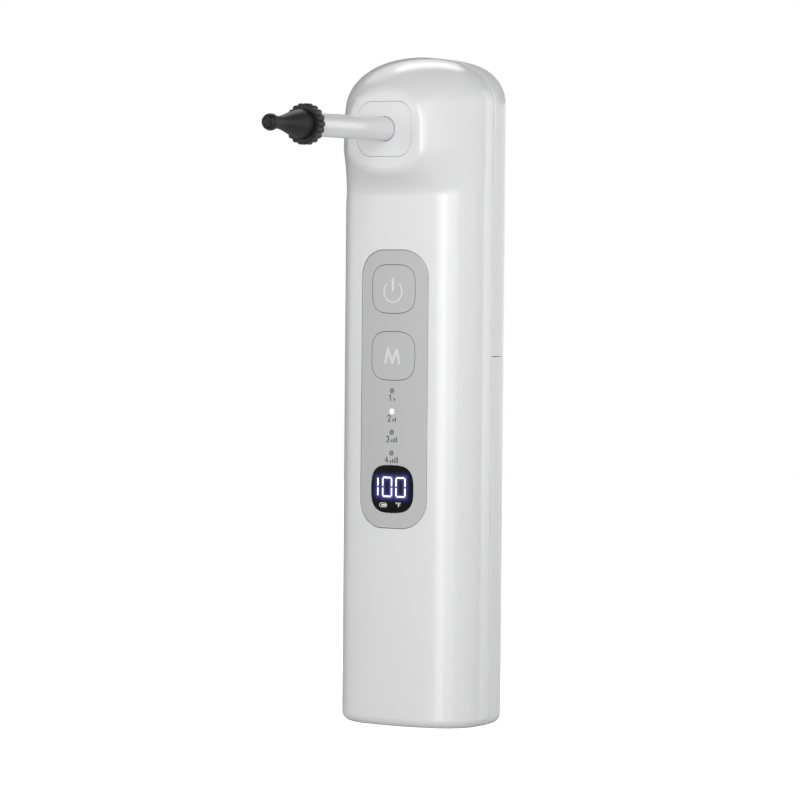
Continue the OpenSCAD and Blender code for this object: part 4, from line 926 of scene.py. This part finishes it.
def makeDisplay():
    d, middle = display, window["middle"]
    lens, tree, shader = newMaterial("litWindow", Roughness=0.12, Emission_Strength=1.0,
                                     Specular_IOR_Level=0.12)
    split = node(tree, "SeparateXYZ", {0: objectPlace(tree)})
    centreZ, halfZ = middle[1] + (d["low"] + d["high"]) / 2, (d["high"] - d["low"] - d["stroke"]) / 2
    near = outlineDistance(split, (d["one"], centreZ), (0, halfZ - d["trim"]))
    for x, width in d["noughts"]:
        other = outlineDistance(split, (x + width / 2, centreZ), ((width - d["stroke"]) / 2, halfZ))
        near = near.maths("MINIMUM", near, other)
    glow = near.maths("EXPONENT", near * d["fade"])
    shade = glow * (noise(tree, objectPlace(tree), 500, 2) * 0.2 + 0.9)
    feed(tree, shader, Base_Color=mixColour(tree, shade, linear((6, 6, 8)), linear((40, 38, 90))),
         Emission_Color=mixColour(tree, shade, (0, 0, 0, 1), linear((122, 116, 216))),
         Normal=bump(tree, noise(tree, objectPlace(tree), 900, 2), 0.02, 0.00002))
    ob = plate("displayWindow", windowLoop(), middle, panelSkin, window["rearY"], window["rim"])
    soften(ob)
    finishPiece(ob, "root", "lens_black", "display_lens", material=lens)
    mid, reach = (d["low"] + d["high"]) / 2, halfZ - d["trim"]
    lit = [((d["one"], mid + a), (d["one"], mid + b))
           for a, b in ((-reach, -d["gap"]), (d["gap"], reach))]
    for x, width in d["noughts"]:
        lit += noughtBars(x, width, d["low"], d["high"], d["stroke"])
    bars = [(through(*b), d["stroke"]) for b in lit]
    strokes("displayDigits", bars, middle, "root", "lens_black", litWhite)
    x, z, h = d["unit"]
    x0, x1, z0, z1 = d["battery"]
    r = (z1 - z0) / 2
    case = np.concatenate([arc(x1 - r, z0 + r, r, -90, 90, 14), arc(x0 + r, z0 + r, r, 90, 270, 14),
                           [[x1 - r, z0]]])
    dim = [(through((x, z), (x, z + h), (x + 0.62 * h, z + h), step=0.4), 0.26),
           (through((x, z + 0.52 * h), (x + 0.52 * h, z + 0.52 * h), step=0.4), 0.22),
           (arc(x - 0.55 * h, z + 0.95 * h, 0.17 * h, 0, 360, 16), 0.18), (case, 0.2),
           (through((x0 + 0.95, z0 + r), (x1 - 0.5, z0 + r), step=0.4), 0.5)]
    strokes("displaySymbols", dim, middle, "root", "lens_black", litDim)


# Light guides with domed ends: the unlit ones are one piece, the lit one is another
def makeLights():
    r = lights["radius"]
    for name, lit, material, replaced in (("lightsOff", False, None, ["light_guides"]),
                                          ("lightOn", True, litLamp, [])):
        points, faces = [], []
        for i, z in enumerate(lights["heights"]):
            if lit == (i == lights["lit"]):
                rows = [upright(circleLoop(r), (0, z), guideHigh[1])]
                rows += [upright(circleLoop(r * math.cos(q) + 0.01), (0, z),
                                 panel["faceY"] + 0.12 - 0.1 * math.sin(q))
                         for q in np.linspace(0, 1.5, 6)]
                faces += [[v + len(points) for v in f] for f in gridFaces(len(rows), len(rows[0]))]
                points += np.concatenate(rows).tolist()
        ob = soften(fromArrays(name, points, faces))
        finishPiece(ob, "root", "light_guide", *replaced, material=material)


makeMarks()
makeDisplay()
makeLights()
print("marks, display and lights made")

armLow, armHigh = corners("nozzle_arm")
collarLow, collarHigh = corners("tip_collar")
tipLow, tipHigh = corners("ear_tip")
arm = dict(base=3.75, end=3.5, spigot=3.3, channel=1.2, hole=3.86, grooveFloor=2.16, grooveHalf=0.75,
           flange=4.7, flangeDepth=1.1, nipple=2.2, grooves=(-14.9, -17.9))
collar = dict(radius=6.3, knobs=18, knobDepth=0.55, round=0.35, lip=0.9, lipBore=4.55, bore=5.0)
tip = dict(base=4.45, neck=1.88, bulb=2.6, face=2.0, taper=14.2, bulbAt=17.1, flange=4.9,
           flangeDepth=1.2, hollow=2.3, channel=1.2, jet=0.25, jetCircle=1.05)


def makeSeat():
    ob = plate("seatPlate", roundedLoop(seat["width"], seat["height"], seat["corner"], 16),
               seat["middle"], flatSkin(seat["faceY"]), seat["floorY"], seat["rim"])
    combine(ob, [recess("armHole", circleLoop(arm["hole"], 40), seat["middle"],
                        flatSkin(seat["faceY"]), seat["floorY"] + 1, 0.15)])
    soften(ob)
    finishPiece(ob, "root", "shell_white", "nozzle_seat")


def makeArm():
    a, front, back, y0 = arm, seat["faceY"], armHigh[1], collarHigh[1]
    profile = [(a["channel"], back), (a["spigot"] - 0.3, back), (a["spigot"], back - 0.3)]
    for g in a["grooves"]:
        h = a["grooveHalf"]
        profile += [(a["spigot"], g + h), (a["grooveFloor"], g + h), (a["grooveFloor"], g - h),
                    (a["spigot"], g - h)]
    profile += [(a["spigot"], front), (a["base"], front), (a["end"], y0), (a["flange"], y0),
                (a["flange"], y0 - a["flangeDepth"]), (a["nipple"], y0 - a["flangeDepth"]),
                (a["nipple"], armLow[1]), (a["channel"], armLow[1])]
    ob = soften(turned("nozzleArm", profile, nozzleZ, 128))
    finishPiece(ob, "nozzle", "shell_white", "nozzle_arm")


# Ring of round knobs with sharp valleys: radius = r - depth (1 - |cos(knobs a / 2)|)
def makeCollar():
    c, y0, y1 = collar, collarHigh[1], collarLow[1]
    a = wholeTurn(16 * c["knobs"])
    knob = c["radius"] - c["knobDepth"] * (1 - np.abs(np.cos(c["knobs"] * a / 2)))
    q = quarter(6)
    ends = [(c["round"] * (1 - math.sin(v)), c["round"] * (1 - math.cos(v))) for v in q]
    outer = [(knob - inset, y0 - back) for inset, back in ends]
    outer += [(knob - inset, y1 + back) for inset, back in ends[::-1]]
    bores = [(c["lipBore"], y1), (c["lipBore"], y1 + c["lip"]), (c["bore"], y1 + c["lip"]),
             (c["bore"], y0)]
    ob = soften(turned("tipCollar", outer + bores, nozzleZ, len(a)), 50)
    finishPiece(ob, "tip_collar", "collar_black", "tip_collar")


# Cone of cosine taper, a bulb and a flat face with three jets
def makeTip():
    t, start = tip, collarLow[1]
    taper = [(t["neck"] + (t["base"] - t["neck"]) * (1 + math.cos(math.pi * i / 32)) / 2,
              start - t["taper"] * i / 32) for i in range(33)]
    a0, a1 = -math.acos(t["neck"] / t["bulb"]), math.asin(t["face"] / t["bulb"])
    bulb = [(t["bulb"] * math.cos(a), start - t["bulbAt"] - t["bulb"] * math.sin(a))
            for a in np.linspace(a0, a1, 24)]
    back, nipple, end = tipHigh[1], armLow[1] - 0.3, tipLow[1]
    profile = [(t["channel"], end + 1.2), (t["channel"], nipple), (t["hollow"], nipple),
               (t["hollow"], back), (t["flange"], back), (t["flange"], back - t["flangeDepth"]),
               (t["base"], back - t["flangeDepth"])] + taper + bulb + [(t["face"] - 0.15, end)]
    ob = turned("softTip", profile, nozzleZ, 112, wrap=False)
    c = t["jetCircle"]
    combine(ob, [rodY("jet", c * math.cos(v), nozzleZ + c * math.sin(v), t["jet"], end - 1, end + 2, 10)
                 for v in np.radians([0, 120, 240])])
    soften(ob, 40)
    finishPiece(ob, "ear_tip", "tip_rubber", "ear_tip")


# Soft flap over the charging socket: a thin plate facing sideways, hinged at its lower edge
def makeFlap():
    f, low, high = flap, flapLow, flapHigh
    midY, hingeZ = (low[1] + high[1]) / 2, low[2] + f["barrel"]
    loop = roundedLoop(high[1] - low[1], high[2] - hingeZ, f["corner"], 8)
    x, half, (z0, z1) = low[0] + f["thick"], f["plugHalf"], f["plugZ"]
    ob = plate("portFlap", loop, (midY, (high[2] + hingeZ) / 2), flatSkin(low[0]), x, f["rim"])
    swap = Matrix(((0, 1, 0, 0), (1, 0, 0, 0), (0, 0, 1, 0), (0, 0, 0, 1)))
    ob.data.transform(swap)
    ob.data.flip_normals()
    combine(ob, [rodY("barrel", low[0] + f["barrel"], hingeZ, f["barrel"], low[1], high[1]),
                 block("plug", x - 0.1, midY - half, z0, x + f["plug"], midY + half, z1)], "UNION")
    out, radius, reach = f["notch"]
    combine(ob, [rodY("notch", low[0] - out, high[2], radius, midY - reach, midY + reach)])
    soften(ob)
    finishPiece(ob, "port_cover", "panel_grey", "port_cover")


makeSeat()
makeArm()
makeCollar()
makeTip()
makeFlap()
print("nozzle, tip and port flap made")


# Pale glossy floor; the camera sees it lit from within, so that it joins the white behind it
def makeFloor():
    lift, tone = studio["floorLift"], studio["floorTone"]
    steps = 96
    rim = circle(studio["floorRadius"], wholeTurn(steps))
    floor = fromArrays("floor", np.column_stack([rim, np.zeros(steps)]), [list(range(steps))])
    m, tree, shader = newMaterial("paleFloor", Roughness=0.1)
    grain = noise(tree, objectPlace(tree), 3, 2)
    feed(tree, shader, Base_Color=mixColour(tree, grain, linear(tone, 0.98), linear(tone)))
    matt = node(tree, "BsdfDiffuse", {"Color": (0.9, 0.9, 0.9, 1)})[0]
    glow = node(tree, "Emission", {"Strength": lift})[0]
    lit = node(tree, "AddShader", {0: matt, 1: glow})[0]
    seen = node(tree, "LightPath", {})[0]
    both = node(tree, "MixShader", {0: seen, 1: Sock(tree, shader.outputs[0]), 2: lit})[0]
    out = next(n for n in tree.nodes if n.type == "OUTPUT_MATERIAL")
    tree.links.new(both.socket, out.inputs[0])
    floor.data.materials.append(m)


# Plain white all round, for the camera and the gloss alike
def makeWorld(strength):
    world = bpy.data.worlds.new("studio")
    world.use_nodes = True
    tree = world.node_tree
    tree.nodes.clear()
    white = node(tree, "Background", {0: (1, 1, 1, 1), 1: strength})[0]
    node(tree, "OutputWorld", {0: white})
    scene.world = world


# Upright screen along a circle round the object, from one azimuth to another
def curvedWall(name, azimuths, low, high):
    a, radius = np.radians(np.linspace(*azimuths, 24)), studio["wall"]
    inner = np.column_stack([radius * np.sin(a), -radius * np.cos(a)])
    return raised(name, np.concatenate([inner, inner[::-1] * 1.01]), low, high)


# Screen out of the camera's sight, which the shell's gloss shows
def makeScreen(screen, tone, strength=1.0):
    m, tree, shader = newMaterial(screen.name, Base_Color=(0, 0, 0, 1), Roughness=0.8,
                                  Emission_Strength=strength)
    shade = mixColour(tree, noise(tree, objectPlace(tree), 3, 2), linear(tone, 0.98), linear(tone))
    feed(tree, shader, Emission_Color=shade)
    screen.data.materials.append(m)
    screen.visible_camera = False


# Soft lamp aimed at the object: azimuth from the front towards +X, elevation, distance in metres
def makeLamp(name, azimuth, elevation, distance, width, height, power):
    a, e = math.radians(azimuth), math.radians(elevation)
    way = np.array([math.sin(a) * math.cos(e), -math.cos(a) * math.cos(e), math.sin(e)])
    data = bpy.data.lights.new(name, "AREA")
    data.shape, data.size, data.size_y, data.energy = "RECTANGLE", width, height, power
    side = np.cross([0, 0, 1.0], way)
    side /= np.linalg.norm(side)
    stand(name, data, [side, np.cross(way, side), way, np.array(studio["aim"]) + way * distance])


studio = dict(world=1.0, floorLift=0.88, floorTone=(224, 224, 224), floorRadius=1400, wall=1500,
              ceiling=(1000, 1010), above=(118, 118, 118), aim=(0, 0, 0.12),
              screens=[("screenRight", (160, 211), -150, 300, (255, 255, 255), 1.2),
                       ("screenHigh", (160, 211), 300, 1000, (170, 170, 170), 1.0),
                       ("screenLeft", (211, 266), -150, 1000, (84, 84, 84), 1.0)],
              lamps=[("lowSoft", 35, 5, 1.2, 0.6, 1.0, 2.87),
                     ("strip", 19, 5, 1.0, 0.26, 1.2, 2.8),
                     ("topBack", -138, 46, 0.9, 0.6, 0.4, 0.85),
                     ("topStrip", -150, 56, 0.85, 0.45, 0.25, 0.85),
                     ("rimNarrow", 146, 8, 1.0, 0.08, 0.9, 0.6),
                     ("keyRight", 45, 36, 0.95, 0.4, 0.4, 0.55)])
makeFloor()
makeWorld(studio["world"])
for name, azimuths, bottom, top, tone, strength in studio["screens"]:
    makeScreen(curvedWall(name, azimuths, bottom, top), tone, strength)
wall, (bottom, top) = studio["wall"], studio["ceiling"]
makeScreen(block("screenAbove", -wall, -wall, bottom, wall, wall, top), studio["above"])
for lamp in studio["lamps"]:
    makeLamp(*lamp)
scene.view_settings.view_transform = "Standard"
print("stage and lamps made")
